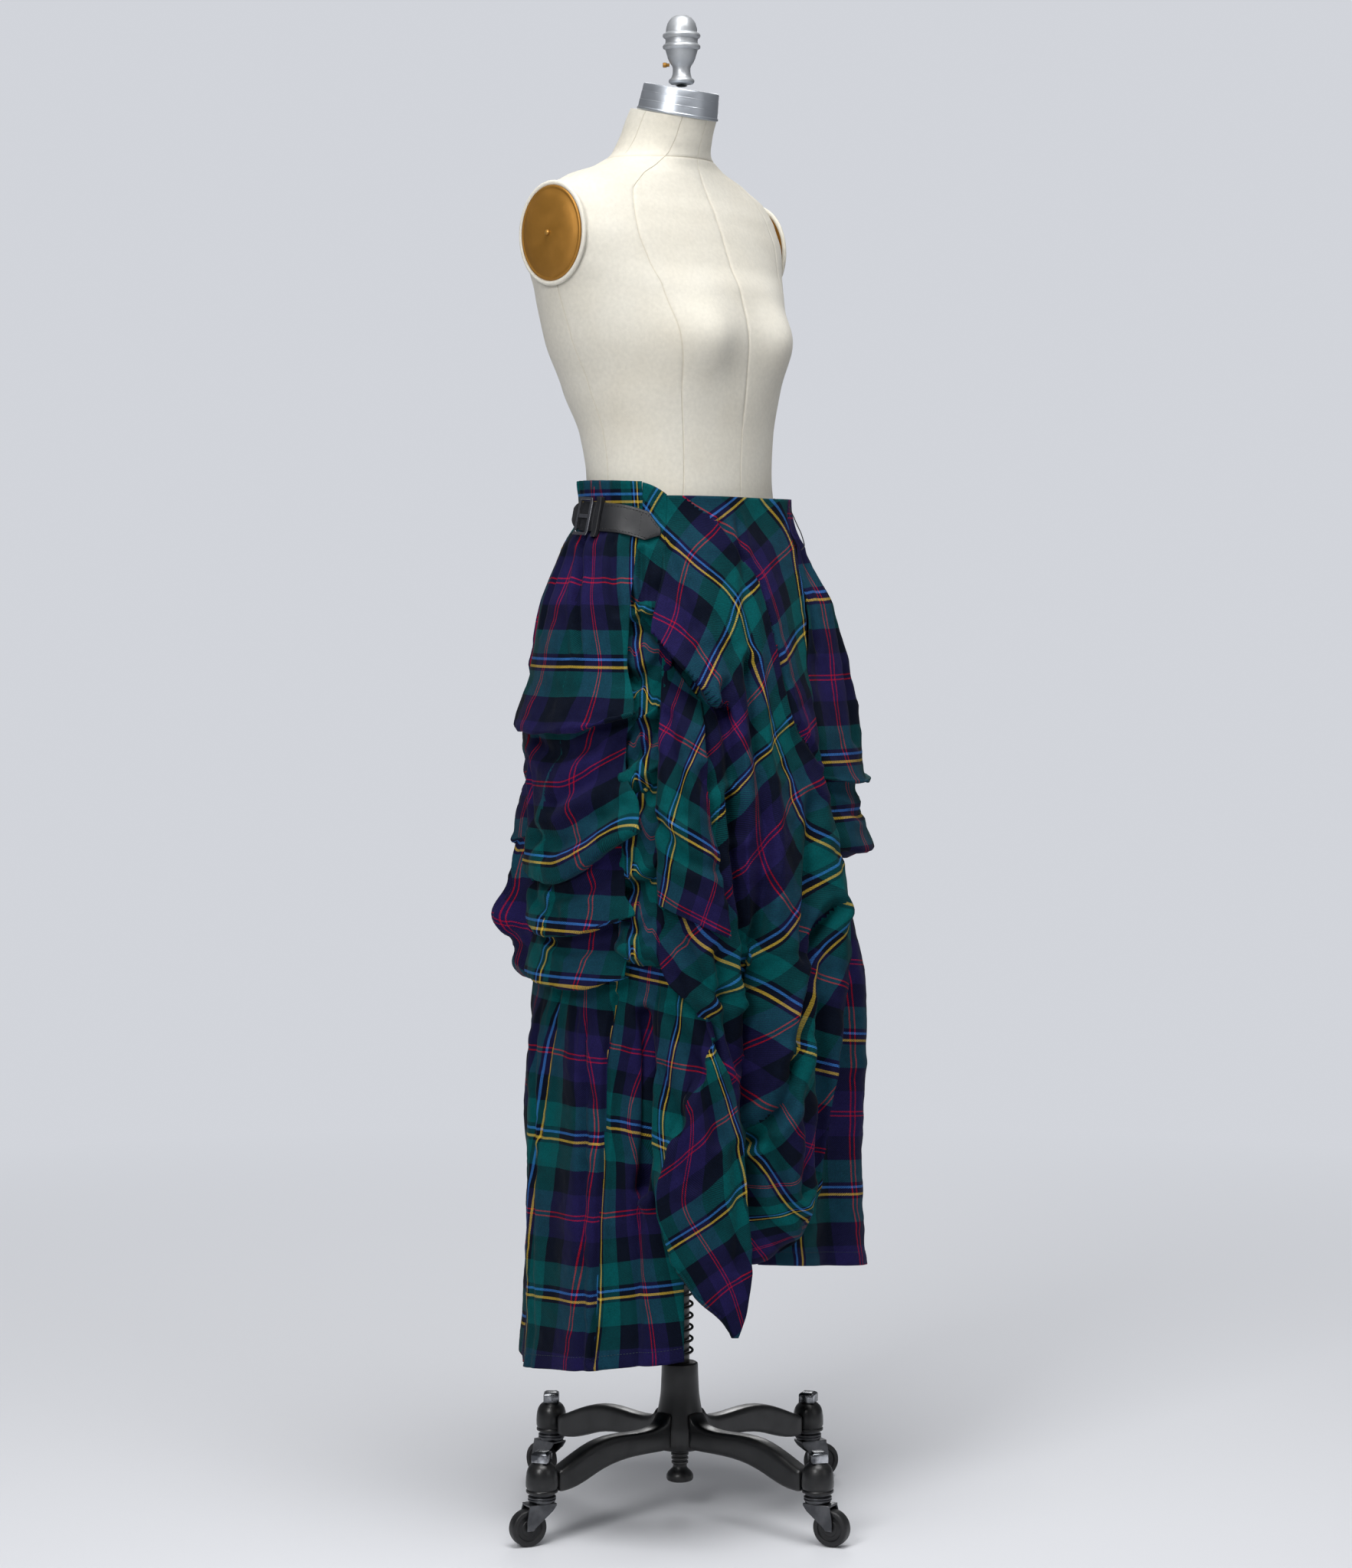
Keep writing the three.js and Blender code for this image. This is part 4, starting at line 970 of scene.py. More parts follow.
def soft_noise(points, size, seed):
    """Smooth random values from -1 to 1 over points, with blobs of about that size."""
    grid = np.asarray(points, float) / size
    cell = np.floor(grid).astype(np.int64)
    t = grid - cell
    t = t * t * (3 - 2 * t)
    total = np.zeros(grid.shape[:-1])
    for corner in range(8):
        step = np.array([corner & 1, (corner >> 1) & 1, corner >> 2])
        key = cell + step
        mixed = (key[..., 0] * 73856093) ^ (key[..., 1] * 19349663) ^ (key[..., 2] * 83492791) ^ (seed * 2654435761)
        mixed = (mixed ^ (mixed >> 13)) * 1274126177
        value = ((mixed ^ (mixed >> 16)) & 0xFFFF) / 32767.5 - 1
        weight = np.prod(np.where(step == 1, t, 1 - t), axis=-1)
        total += value * weight
    return total


def to_xyz(degrees, z, radius):
    """Points in millimetres from direction, height and radius."""
    turn = np.radians(degrees)
    return np.stack([radius * np.cos(turn), radius * np.sin(turn), z], axis=-1)


def mesh_from_grid(name, points, cloth=None):
    """A sheet from a grid of points in millimetres, with the cloth's own coordinates as its UV map."""
    rows, columns = points.shape[:2]
    mesh = bpy.data.meshes.new(name)
    index = np.arange(rows * columns).reshape(rows, columns)
    faces = np.stack([index[:-1, :-1], index[1:, :-1], index[1:, 1:], index[:-1, 1:]], axis=-1).reshape(-1, 4)
    mesh.from_pydata((points.reshape(-1, 3) * MM).tolist(), [], faces.tolist())
    if cloth is not None:
        layer = mesh.uv_layers.new(name="cloth")
        layer.data.foreach_set("uv", (cloth * MM).ravel().astype(np.float32))
    mesh.update()
    piece = bpy.data.objects.new(name, mesh)
    bpy.context.scene.collection.objects.link(piece)
    return piece


def select_only(piece):
    """Makes piece the only selected and active object."""
    bpy.ops.object.select_all(action="DESELECT")
    piece.select_set(True)
    bpy.context.view_layer.objects.active = piece


def apply_modifiers(piece):
    """Applies every modifier on the piece, in order."""
    select_only(piece)
    for modifier in list(piece.modifiers):
        bpy.ops.object.modifier_apply(modifier=modifier.name)


def give_thickness(piece, thickness, offset=-1.0):
    """Turns a sheet into a thin closed shell, thickness in millimetres."""
    solidify = piece.modifiers.new("thickness", "SOLIDIFY")
    solidify.thickness = thickness * MM
    solidify.offset = offset
    solidify.use_even_offset = False
    apply_modifiers(piece)


def surface_normals(points):
    """Outward normals of a grid of points."""
    down = np.gradient(points, axis=0)
    along = np.gradient(points, axis=1)
    normal = np.cross(down, along)
    normal /= np.maximum(np.linalg.norm(normal, axis=-1, keepdims=True), 1e-9)
    return normal


def smooth_all(piece):
    """Smooth shading on every face."""
    piece.data.polygons.foreach_set("use_smooth", [True] * len(piece.data.polygons))


def in_edit_mode(piece, select_mode="FACE"):
    """Opens a piece for editing with nothing selected."""
    select_only(piece)
    bpy.ops.object.mode_set(mode="EDIT")
    bpy.ops.mesh.select_mode(type=select_mode)
    bpy.ops.mesh.select_all(action="DESELECT")


def stitch_row(name, start_points, material, ups, length=2.6, gap=1.2, thick=0.55):
    """A row of thread stitches along a line of points in millimetres, each a small rounded bar."""
    line = np.asarray(start_points, float)
    ups = np.asarray(ups, float)
    travel = np.concatenate([[0], np.cumsum(np.linalg.norm(np.diff(line, axis=0), axis=1))])
    verts, faces = [], []
    at = gap
    while at + length < travel[-1]:
        ends = [np.array([np.interp(s, travel, line[:, k]) for k in range(3)]) for s in (at, at + length)]
        up = np.array([np.interp(at, travel, ups[:, k]) for k in range(3)])
        along = (ends[1] - ends[0]) / np.linalg.norm(ends[1] - ends[0])
        side = np.cross(up, along)
        base = len(verts)
        for share, size in ((0.0, 0.35), (0.22, 1.0), (0.78, 1.0), (1.0, 0.35)):
            centre = ends[0] + (ends[1] - ends[0]) * share + up * thick * (0.5 if 0 < share < 1 else -0.1)
            for turn in range(6):
                angle = turn * math.pi / 3
                verts.append(centre + (side * math.cos(angle) + up * math.sin(angle)) * thick * size)
        for ring in range(3):
            for turn in range(6):
                a = base + ring * 6 + turn
                b = base + ring * 6 + (turn + 1) % 6
                faces.append((a, b, b + 6, a + 6))
        faces.append(tuple(base + turn for turn in range(5, -1, -1)))
        faces.append(tuple(base + 18 + turn for turn in range(6)))
        at += length + gap
    mesh = bpy.data.meshes.new(name)
    mesh.from_pydata((np.array(verts) * MM).tolist(), [], faces)
    piece = bpy.data.objects.new(name, mesh)
    bpy.context.scene.collection.objects.link(piece)
    in_edit_mode(piece)
    bpy.ops.mesh.select_all(action="SELECT")
    bpy.ops.mesh.normals_make_consistent(inside=False)
    bpy.ops.object.mode_set(mode="OBJECT")
    smooth_all(piece)
    piece.data.materials.append(material)
    return piece


def crease(degrees, z, route, depth, width):
    """A soft trough along a route of directions and heights, with a low ridge at each side."""
    across_mm = degrees * DEGREE_MM
    nearest = np.full(np.shape(z), 1e9)
    for (turn_a, z_a), (turn_b, z_b) in zip(route, route[1:]):
        start = np.array([turn_a * DEGREE_MM, z_a], float)
        span = np.array([turn_b * DEGREE_MM, z_b], float) - start
        share = ((across_mm - start[0]) * span[0] + (z - start[1]) * span[1]) / (span @ span)
        share = np.clip(share, 0, 1)
        away = np.hypot(across_mm - start[0] - share * span[0], z - start[1] - share * span[1])
        nearest = np.minimum(nearest, away)
    trough = np.exp(-((nearest / width) ** 2))
    ridge = np.exp(-(((nearest - 2 * width) / width) ** 2))
    return depth * (0.7 * ridge - 1.5 * trough)


def crumple(panel, degrees, z):
    """Uneven creasing of the cloth, in millimetres along its normal."""
    slack = panel.get("slack", 1.0)
    turn = np.radians(degrees)
    round_the_hip = np.stack([turn * 195, np.zeros_like(z), z], axis=-1)
    long_waves = soft_noise(round_the_hip * (1, 1, 0.35), 42, 3)
    short_waves = soft_noise(round_the_hip * (0.5, 1, 1), 17, 5)
    fine = soft_noise(round_the_hip, 8, 9)
    loose = 0.45 + 0.55 * smoothstep(1120, 950, z)
    shape = slack * loose * (3.4 * long_waves + 1.9 * short_waves + 0.6 * fine) * smoothstep(1225, 1150, z)
    for route, depth, width in panel.get("creases", []):
        shape = shape + crease(degrees, z, route, depth, width)
    return shape


def cloth_panel(name, panel):
    """One cloth piece of the skirt: a thin shell with its creases, which carries its stripes as its UV map."""
    stops = fine_stops(panel["rows"], 4.0)
    u = np.linspace(0, 1, 60)
    last_row = len(panel["rows"]) - 1
    lines = [to_xyz(*panel_points(panel, u, np.full(60, level * last_row))) for level in (0.2, 0.5, 0.8)]
    width = max(np.linalg.norm(np.diff(line, axis=0), axis=1).sum() for line in lines)
    columns = 5 * math.ceil(max(24, width / 2.8) / 5) + 1
    at, u = np.meshgrid(stops, np.linspace(0, 1, columns), indexing="ij")
    degrees, z, radius = panel_points(panel, u, at)
    points = to_xyz(degrees, z, radius)
    points = points + surface_normals(points) * crumple(panel, degrees, z)[..., None]
    if "hem" in panel:
        points = points + surface_normals(points) * hem_relief(points, panel["hem"])[..., None]
    keep_clear_of_form(points)
    down = np.linalg.norm(np.diff(points, axis=0), axis=-1)
    length = np.vstack([np.zeros(columns), np.cumsum(down, axis=0)])
    piece = mesh_from_grid(name + "_cloth", points, cloth_places(panel, degrees, z, at, u, length))
    give_thickness(piece, 1.4)
    smooth_all(piece)
    piece.data.materials.append(TARTAN)
    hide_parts(name)
    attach(piece, "form")
    if "hem" in panel:
        hem_stitches(name, points, panel["hem"])
    return piece


def above_hem(points):
    """Distance of each point above the lower edge, along the cloth."""
    down = np.linalg.norm(np.diff(points, axis=0), axis=-1)
    travelled = np.vstack([np.zeros(points.shape[1]), np.cumsum(down, axis=0)])
    return travelled[-1] - travelled


def hem_relief(points, hem):
    """The turned-up hem's double layer, with the dip of its stitching."""
    above = above_hem(points)
    return 0.9 * smoothstep(hem + 4, hem + 1, above) - 0.8 * np.exp(-(((above - hem + 1) / 2.2) ** 2))


def hem_stitches(name, points, hem):
    """A row of small stitches along the top of the hem."""
    above = above_hem(points)
    count = points.shape[1]
    line = np.stack(
        [[np.interp(hem - 1, above[::-1, j], points[::-1, j, k]) for k in range(3)] for j in range(count)]
    )
    outward = line * (1, 1, 0)
    outward = outward / np.linalg.norm(outward, axis=1, keepdims=True)
    row = stitch_row(name + "_hem_stitches", line, SEWING_THREAD, outward, length=2.4, gap=1.4, thick=0.3)
    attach(row, "form")


def corners_of(grid):
    """The four corner values of each face, in the order that the faces name their corners."""
    return np.stack([grid[:-1, :-1], grid[1:, :-1], grid[1:, 1:], grid[:-1, 1:]], axis=-1)


def cloth_places(panel, degrees, z, at, u, length):
    """Place in the sett, in millimetres, at each corner of each face; a pleat's side goes by the face's middle."""
    corners = {"degrees": corners_of(degrees), "z": corners_of(z), "at": corners_of(at), "u": corners_of(u)}
    middle = {name: np.repeat(grid.mean(axis=-1)[..., None], 4, axis=-1) for name, grid in corners.items()}
    stripes = panel.get("stripes", plain_stripes)
    x, y = stripes(corners["degrees"], corners["z"], corners_of(length), middle)
    return np.stack([x, y], axis=-1)


def keep_clear_of_form(points):
    """Pushes cloth points out where a crease would cut into the form."""
    turn = np.degrees(np.arctan2(points[..., 1], points[..., 0]))
    radius = np.hypot(points[..., 0], points[..., 1])
    nearest = form_radius(turn, points[..., 2]) + 2.2
    push = np.maximum(nearest / radius, 1.0)
    points[..., 0] *= push
    points[..., 1] *= push


# ---------------------------------------------------------------- materials
def new_group(name, inputs, outputs):
    """A shader node group with named inputs and outputs, each (name, type, default)."""
    group = bpy.data.node_groups.new(name, "ShaderNodeTree")
    for label, kind, value in inputs:
        socket = group.interface.new_socket(name=label, in_out="INPUT", socket_type=kind)
        if value is not None:
            socket.default_value = value
    for label, kind in outputs:
        group.interface.new_socket(name=label, in_out="OUTPUT", socket_type=kind)
    source = group.nodes.new("NodeGroupInput")
    sink = group.nodes.new("NodeGroupOutput")
    return group, source, sink


def math_node(tree, operation, a, b=0.0):
    """A math node with each input a number or a socket."""
    node = tree.nodes.new("ShaderNodeMath")
    node.operation = operation
    for slot, value in enumerate((a, b)):
        if hasattr(value, "is_output"):
            tree.links.new(value, node.inputs[slot])
        else:
            node.inputs[slot].default_value = value
    return node.outputs[0]


def mix_colour(tree, factor, a, b, blend="MIX"):
    """A colour mix with each input a value, a colour or a socket."""
    node = tree.nodes.new("ShaderNodeMix")
    node.data_type = "RGBA"
    node.blend_type = blend
    for slot, value in ((0, factor), (6, a), (7, b)):
        if hasattr(value, "is_output"):
            tree.links.new(value, node.inputs[slot])
        else:
            node.inputs[slot].default_value = value
    return node.outputs[2]


def srgb(red, green, blue):
    """A linear colour from 0-255 screen values."""
    def lift(v):
        v = v / 255
        return v / 12.92 if v <= 0.04045 else ((v + 0.055) / 1.055) ** 2.4
    return (lift(red), lift(green), lift(blue), 1.0)


NAVY = srgb(28, 24, 68)
BLACK = srgb(6, 13, 28)
GREEN = srgb(0, 76, 78)
SCARLET = srgb(178, 10, 40)
AZURE = srgb(54, 118, 192)
YELLOW = srgb(206, 174, 62)

# The sett across half its repeat and back, in millimetres: where each stripe starts, and its colour.
SETT = [
    (0.0, NAVY),
    (1.6, SCARLET),
    (3.4, NAVY),
    (28.0, BLACK),
    (57.0, GREEN),
    (84.6, BLACK),
    (88.4, AZURE),
    (91.8, BLACK),
    (97.6, YELLOW),
    (100.4, BLACK),
    (104.2, GREEN),
    (133.0, BLACK),
    (162.0, NAVY),
    (186.6, SCARLET),
    (188.4, NAVY),
]
REPEAT = 190.0


def stripe_group():
    """Colour of one thread from its place across the sett, in metres."""
    group, source, sink = new_group(
        "tartan stripes", [("Place", "NodeSocketFloat", 0.0)], [("Colour", "NodeSocketColor")]
    )
    share = math_node(group, "MULTIPLY", source.outputs[0], 1000.0 / REPEAT)
    share = math_node(group, "FRACT", share)
    ramp = group.nodes.new("ShaderNodeValToRGB")
    ramp.color_ramp.interpolation = "CONSTANT"
    stops = ramp.color_ramp.elements
    stops[0].position = 0.0
    stops[0].color = SETT[0][1]
    stops[1].position = SETT[1][0] / REPEAT
    stops[1].color = SETT[1][1]
    for start, colour in SETT[2:]:
        stop = stops.new(start / REPEAT)
        stop.color = colour
    group.links.new(share, ramp.inputs[0])
    group.links.new(ramp.outputs[0], sink.inputs[0])
    return group


def twill_group():
    """The tartan's weave: warp and weft stripes blended by a slanting twill, and the thread's relief."""
    group, source, sink = new_group(
        "tartan twill",
        [("Cloth", "NodeSocketVector", None), ("Thread", "NodeSocketFloat", 0.0011)],
        [("Colour", "NodeSocketColor"), ("Relief", "NodeSocketFloat")],
    )
    split = group.nodes.new("ShaderNodeSeparateXYZ")
    group.links.new(source.outputs[0], split.inputs[0])
    stripes = stripe_group()
    threads = []
    for axis in (0, 1):
        node = group.nodes.new("ShaderNodeGroup")
        node.node_tree = stripes
        group.links.new(split.outputs[axis], node.inputs[0])
        threads.append(node.outputs[0])
    slant = math_node(group, "ADD", split.outputs[0], split.outputs[1])
    slant = math_node(group, "DIVIDE", slant, source.outputs[1])
    wave = math_node(group, "SINE", math_node(group, "MULTIPLY", slant, math.pi))
    over = math_node(group, "MULTIPLY_ADD", wave, 0.28)
    over.node.inputs[2].default_value = 0.5
    colour = mix_colour(group, over, threads[0], threads[1])
    cross = math_node(group, "DIVIDE", split.outputs[0], source.outputs[1])
    rib = math_node(group, "SINE", math_node(group, "MULTIPLY", cross, 2 * math.pi))
    relief = math_node(group, "ADD", wave, math_node(group, "MULTIPLY", rib, 0.35))
    group.links.new(colour, sink.inputs[0])
    group.links.new(relief, sink.inputs[1])
    return group


def new_material(name, roughness, metallic=0.0):
    """A material with its Principled shader; returns the material, its tree and the shader."""
    material = bpy.data.materials.new(name)
    material.use_nodes = True
    tree = material.node_tree
    shader = tree.nodes["Principled BSDF"]
    shader.inputs["Roughness"].default_value = roughness
    shader.inputs["Metallic"].default_value = metallic
    return material, tree, shader


def tartan_material():
    """Soft wool twill in the skirt's tartan."""
    material, tree, shader = new_material("tartan wool twill", 0.78)
    cloth = tree.nodes.new("ShaderNodeUVMap")
    cloth.uv_map = "cloth"
    twill = tree.nodes.new("ShaderNodeGroup")
    twill.node_tree = twill_group()
    twill.inputs["Thread"].default_value = 0.0011
    tree.links.new(cloth.outputs[0], twill.inputs[0])
    place = tree.nodes.new("ShaderNodeTexCoord")
    fibre = tree.nodes.new("ShaderNodeTexNoise")
    fibre.inputs["Scale"].default_value = 60.0
    fibre.inputs["Detail"].default_value = 4.0
    tree.links.new(place.outputs["Object"], fibre.inputs[0])
    nap = tree.nodes.new("ShaderNodeTexNoise")
    nap.inputs["Scale"].default_value = 700.0
    nap.inputs["Detail"].default_value = 3.0
    tree.links.new(place.outputs["Object"], nap.inputs[0])
    mottle = math_node(tree, "ADD", math_node(tree, "MULTIPLY", fibre.outputs[0], 0.5), nap.outputs[0])
    fade = tree.nodes.new("ShaderNodeMapRange")
    for slot, value in ((1, 0.45), (2, 1.05), (3, 0.64), (4, 1.2)):
        fade.inputs[slot].default_value = value
    tree.links.new(mottle, fade.inputs[0])
    tint = mix_colour(tree, 1.0, twill.outputs[0], (1, 1, 1, 1), "MULTIPLY")
    tree.links.new(fade.outputs[0], tint.node.inputs[7])
    tree.links.new(tint, shader.inputs["Base Color"])
    bump = tree.nodes.new("ShaderNodeBump")
    bump.inputs["Strength"].default_value = 0.35
    bump.inputs["Distance"].default_value = 0.0003
    tree.links.new(twill.outputs[1], bump.inputs["Height"])
    tree.links.new(bump.outputs[0], shader.inputs["Normal"])
    shader.inputs["Sheen Weight"].default_value = 0.025
    shader.inputs["Specular IOR Level"].default_value = 0.06
    shader.inputs["Sheen Roughness"].default_value = 0.45
    return material




# ---------------------------------------------------------------- shared finishes
def noise_node(tree, vector, scale, detail=3.0):
    """Fractal noise over a place."""
    node = tree.nodes.new("ShaderNodeTexNoise")
    node.inputs["Scale"].default_value = scale
    node.inputs["Detail"].default_value = detail
    tree.links.new(vector, node.inputs[0])
    return node.outputs[0]


def ramp_between(tree, value, low, high, start=0.0, end=1.0):
    """A value remapped from low..high to start..end, and held there."""
    node = tree.nodes.new("ShaderNodeMapRange")
    for slot, number in ((1, low), (2, high), (3, start), (4, end)):
        node.inputs[slot].default_value = number
    tree.links.new(value, node.inputs[0])
    return node.outputs[0]


def grain_group():
    """Speckled grain for cast and moulded faces: a shade that varies, and a fine relief."""
    group, source, sink = new_group(
        "surface grain",
        [("Place", "NodeSocketVector", None), ("Scale", "NodeSocketFloat", 400.0), ("Contrast", "NodeSocketFloat", 0.2)],
        [("Shade", "NodeSocketFloat"), ("Relief", "NodeSocketFloat")],
    )
    coarse = noise_node(group, source.outputs[0], 35.0, 4.0)
    fine = group.nodes.new("ShaderNodeTexNoise")
    fine.inputs["Detail"].default_value = 5.0
    group.links.new(source.outputs[0], fine.inputs[0])
    group.links.new(source.outputs[1], fine.inputs["Scale"])
    broad = math_node(group, "MULTIPLY", coarse, 0.6)
    narrow = math_node(group, "MULTIPLY", fine.outputs[0], 0.4)
    both = math_node(group, "ADD", broad, narrow)
    centred = math_node(group, "SUBTRACT", both, 0.5)
    swing = math_node(group, "MULTIPLY", centred, source.outputs[2])
    group.links.new(math_node(group, "ADD", swing, 1.0), sink.inputs[0])
    group.links.new(fine.outputs[0], sink.inputs[1])
    return group


def wear_group():
    """Where handling has worn a finish: a mask that is strongest on ridges and breaks up in patches."""
    group, source, sink = new_group(
        "edge wear",
        [("Place", "NodeSocketVector", None), ("Amount", "NodeSocketFloat", 0.5)],
        [("Mask", "NodeSocketFloat")],
    )
    ridge = group.nodes.new("ShaderNodeNewGeometry")
    pointed = ramp_between(group, ridge.outputs["Pointiness"], 0.515, 0.60)
    patches = ramp_between(group, noise_node(group, source.outputs[0], 60.0, 6.0), 0.42, 0.62)
    worn = math_node(group, "MULTIPLY", pointed, patches)
    group.links.new(math_node(group, "MULTIPLY", worn, source.outputs[1]), sink.inputs[0])
    return group


GRAIN = grain_group()
WEAR = wear_group()


def finish_material(
    name, colour, worn, roughness, metallic=0.0, scale=400.0, contrast=0.25, wear=0.5, relief=0.2, coat=0.0
):
    """A cast, painted, turned or moulded finish with grain, patches of wear and an uneven gloss."""
    material, tree, shader = new_material(name, roughness, metallic)
    place = tree.nodes.new("ShaderNodeTexCoord").outputs["Object"]
    grain = tree.nodes.new("ShaderNodeGroup")
    grain.node_tree = GRAIN
    grain.inputs["Scale"].default_value = scale
    grain.inputs["Contrast"].default_value = contrast
    tree.links.new(place, grain.inputs[0])
    rubbed = tree.nodes.new("ShaderNodeGroup")
    rubbed.node_tree = WEAR
    rubbed.inputs["Amount"].default_value = wear
    tree.links.new(place, rubbed.inputs[0])
    base = mix_colour(tree, rubbed.outputs[0], colour, worn)
    shaded = mix_colour(tree, 1.0, base, (1, 1, 1, 1), "MULTIPLY")
    tree.links.new(grain.outputs[0], shaded.node.inputs[7])
    tree.links.new(shaded, shader.inputs["Base Color"])
    uneven = ramp_between(tree, noise_node(tree, place, 45.0), 0.3, 0.7, roughness * 0.8, min(roughness * 1.25, 1.0))
    tree.links.new(uneven, shader.inputs["Roughness"])
    bump = tree.nodes.new("ShaderNodeBump")
    bump.inputs["Strength"].default_value = relief
    bump.inputs["Distance"].default_value = 0.0002
    tree.links.new(grain.outputs[1], bump.inputs["Height"])
    tree.links.new(bump.outputs[0], shader.inputs["Normal"])
    shader.inputs["Coat Weight"].default_value = coat
    shader.inputs["Coat Roughness"].default_value = 0.12
    return material


def canvas_material():
    """Natural linen canvas stretched over the form, a little darker along its seams."""
    material, tree, shader = new_material("linen canvas", 0.88)
    place = tree.nodes.new("ShaderNodeTexCoord").outputs["Object"]
    split = tree.nodes.new("ShaderNodeSeparateXYZ")
    tree.links.new(place, split.inputs[0])
    around = tree.nodes.new("ShaderNodeAttribute")
    around.attribute_name = "girth"
    warp = math_node(tree, "SINE", math_node(tree, "MULTIPLY", around.outputs["Fac"], 2 * math.pi / 0.0011))
    weft = math_node(tree, "SINE", math_node(tree, "MULTIPLY", split.outputs[2], 2 * math.pi / 0.0011))
    weave = math_node(tree, "MULTIPLY", warp, weft)
    slubs = noise_node(tree, place, 220.0, 5.0)
    blotches = ramp_between(tree, noise_node(tree, place, 7.0), 0.35, 0.65)
    seam = tree.nodes.new("ShaderNodeAttribute")
    seam.attribute_name = "seam"
    linen = mix_colour(tree, blotches, srgb(216, 212, 200), srgb(209, 203, 188))
    linen = mix_colour(tree, math_node(tree, "MULTIPLY", seam.outputs["Fac"], 0.35), linen, srgb(176, 163, 138))
    speckled = mix_colour(tree, 1.0, linen, (1, 1, 1, 1), "MULTIPLY")
    tree.links.new(ramp_between(tree, slubs, 0.3, 0.7, 0.95, 1.04), speckled.node.inputs[7])
    tree.links.new(speckled, shader.inputs["Base Color"])
    height = math_node(tree, "ADD", weave, math_node(tree, "MULTIPLY", slubs, 1.5))
    bump = tree.nodes.new("ShaderNodeBump")
    bump.inputs["Strength"].default_value = 0.35
    bump.inputs["Distance"].default_value = 0.0002
    tree.links.new(height, bump.inputs["Height"])
    tree.links.new(bump.outputs[0], shader.inputs["Normal"])
    shader.inputs["Sheen Weight"].default_value = 0.1
    return material


CANVAS = canvas_material()
CAST_ALUMINIUM = finish_material(
    "cast aluminium", srgb(182, 185, 188), srgb(222, 223, 226), 0.48, metallic=0.75, scale=260.0, contrast=0.4, wear=0.8
)
TURNED_ALUMINIUM = finish_material(
    "turned aluminium", srgb(178, 183, 190), srgb(226, 228, 232), 0.36, metallic=0.8, scale=900.0, contrast=0.12, wear=0.6
)
AGED_BRASS = finish_material(
    "aged brass", srgb(164, 116, 46), srgb(198, 158, 84), 0.44, metallic=0.6, scale=120.0, contrast=0.4, wear=0.7
)
BLACK_ENAMEL = finish_material(
    "black enamel on cast iron", srgb(6, 7, 9), srgb(92, 89, 86), 0.38, scale=180.0, contrast=0.4, wear=0.45,
    relief=0.55, coat=0.1
)
BLACK_WIRE = finish_material(
    "blackened spring wire", srgb(20, 20, 22), srgb(120, 118, 116), 0.34, metallic=0.6, scale=500.0, contrast=0.3, wear=0.4
)
POLISHED_STEEL = finish_material(
    "plated steel", srgb(78, 79, 82), srgb(150, 151, 154), 0.34, metallic=1.0, scale=600.0, contrast=0.3, wear=0.6
)
BRIGHT_CHROME = finish_material(
    "worn chrome", srgb(78, 80, 84), srgb(186, 188, 192), 0.22, metallic=1.0, scale=300.0, contrast=0.9, wear=1.0
)
BLACK_RUBBER = finish_material(
    "moulded black rubber", srgb(18, 18, 20), srgb(60, 60, 62), 0.5, scale=700.0, contrast=0.5, wear=0.4, relief=0.35
)
BLACK_LEATHER = finish_material(
    "black saddle leather", srgb(26, 27, 30), srgb(70, 68, 70), 0.44, scale=900.0, contrast=0.5, wear=0.55, relief=0.6
)
BLACK_LEATHER.node_tree.nodes["Principled BSDF"].inputs["Specular IOR Level"].default_value = 0.32
GUNMETAL = finish_material(
    "blackened buckle steel", srgb(138, 139, 145), srgb(190, 190, 195), 0.24, metallic=1.0, scale=500.0, contrast=0.3, wear=0.9
)
WAXED_THREAD = finish_material(
    "waxed black thread", srgb(6, 6, 7), srgb(40, 38, 38), 0.6, scale=1500.0, contrast=0.6, wear=0.3
)
SEWING_THREAD = finish_material(
    "dark green sewing thread", srgb(26, 40, 46), srgb(60, 76, 80), 0.75, scale=1500.0, contrast=0.6, wear=0.3
)
TARTAN = tartan_material()


# ---------------------------------------------------------------- the skirt
SIDE_RIGHT.update(
    gathers=side_right_gathers,
    stripes=side_right_stripes,
    slack=1.1,
    fullness=1.35,
    creases=[
        ([(176, 1160), (179, 1100), (183, 1040)], 5, 5),
        ([(164, 1150), (160, 1060)], 2.5, 6),
        ([(190, 1160), (196, 1080)], 2.5, 5),
        ([(158, 930), (170, 915), (190, 925)], 3, 9),
        ([(201, 930), (192, 890), (176, 860)], 4, 9),
        ([(201, 905), (194, 850), (180, 822), (166, 815)], 5, 10),
        ([(201, 860), (190, 822), (174, 800)], 4, 8),
        ([(152, 900), (160, 850), (168, 825)], 3, 8),
        ([(201, 800), (190, 765), (176, 750)], 3.5, 7),
        ([(156, 770), (166, 742), (178, 735)], 3, 7),
        ([(170, 700), (182, 690), (198, 697)], 2.5, 6),
    ],
)
RUCHE_RIGHT.update(
    gathers=ruche_recess,
    stripes=ruche_stripes,
    slack=2.2,
    fullness=1.4,
    creases=[
        ([(197, 1120), (203, 1075), (211, 1050)], 4, 5),
        ([(196, 1015), (204, 1000), (213, 1025)], 5, 6),
        ([(199, 905), (206, 925), (214, 950)], 5, 6),
        ([(196, 835), (204, 850), (214, 880)], 5, 6),
        ([(198, 745), (205, 720), (211, 730)], 4, 6),
        ([(203, 1150), (204, 1090)], 3, 4),
    ],
)
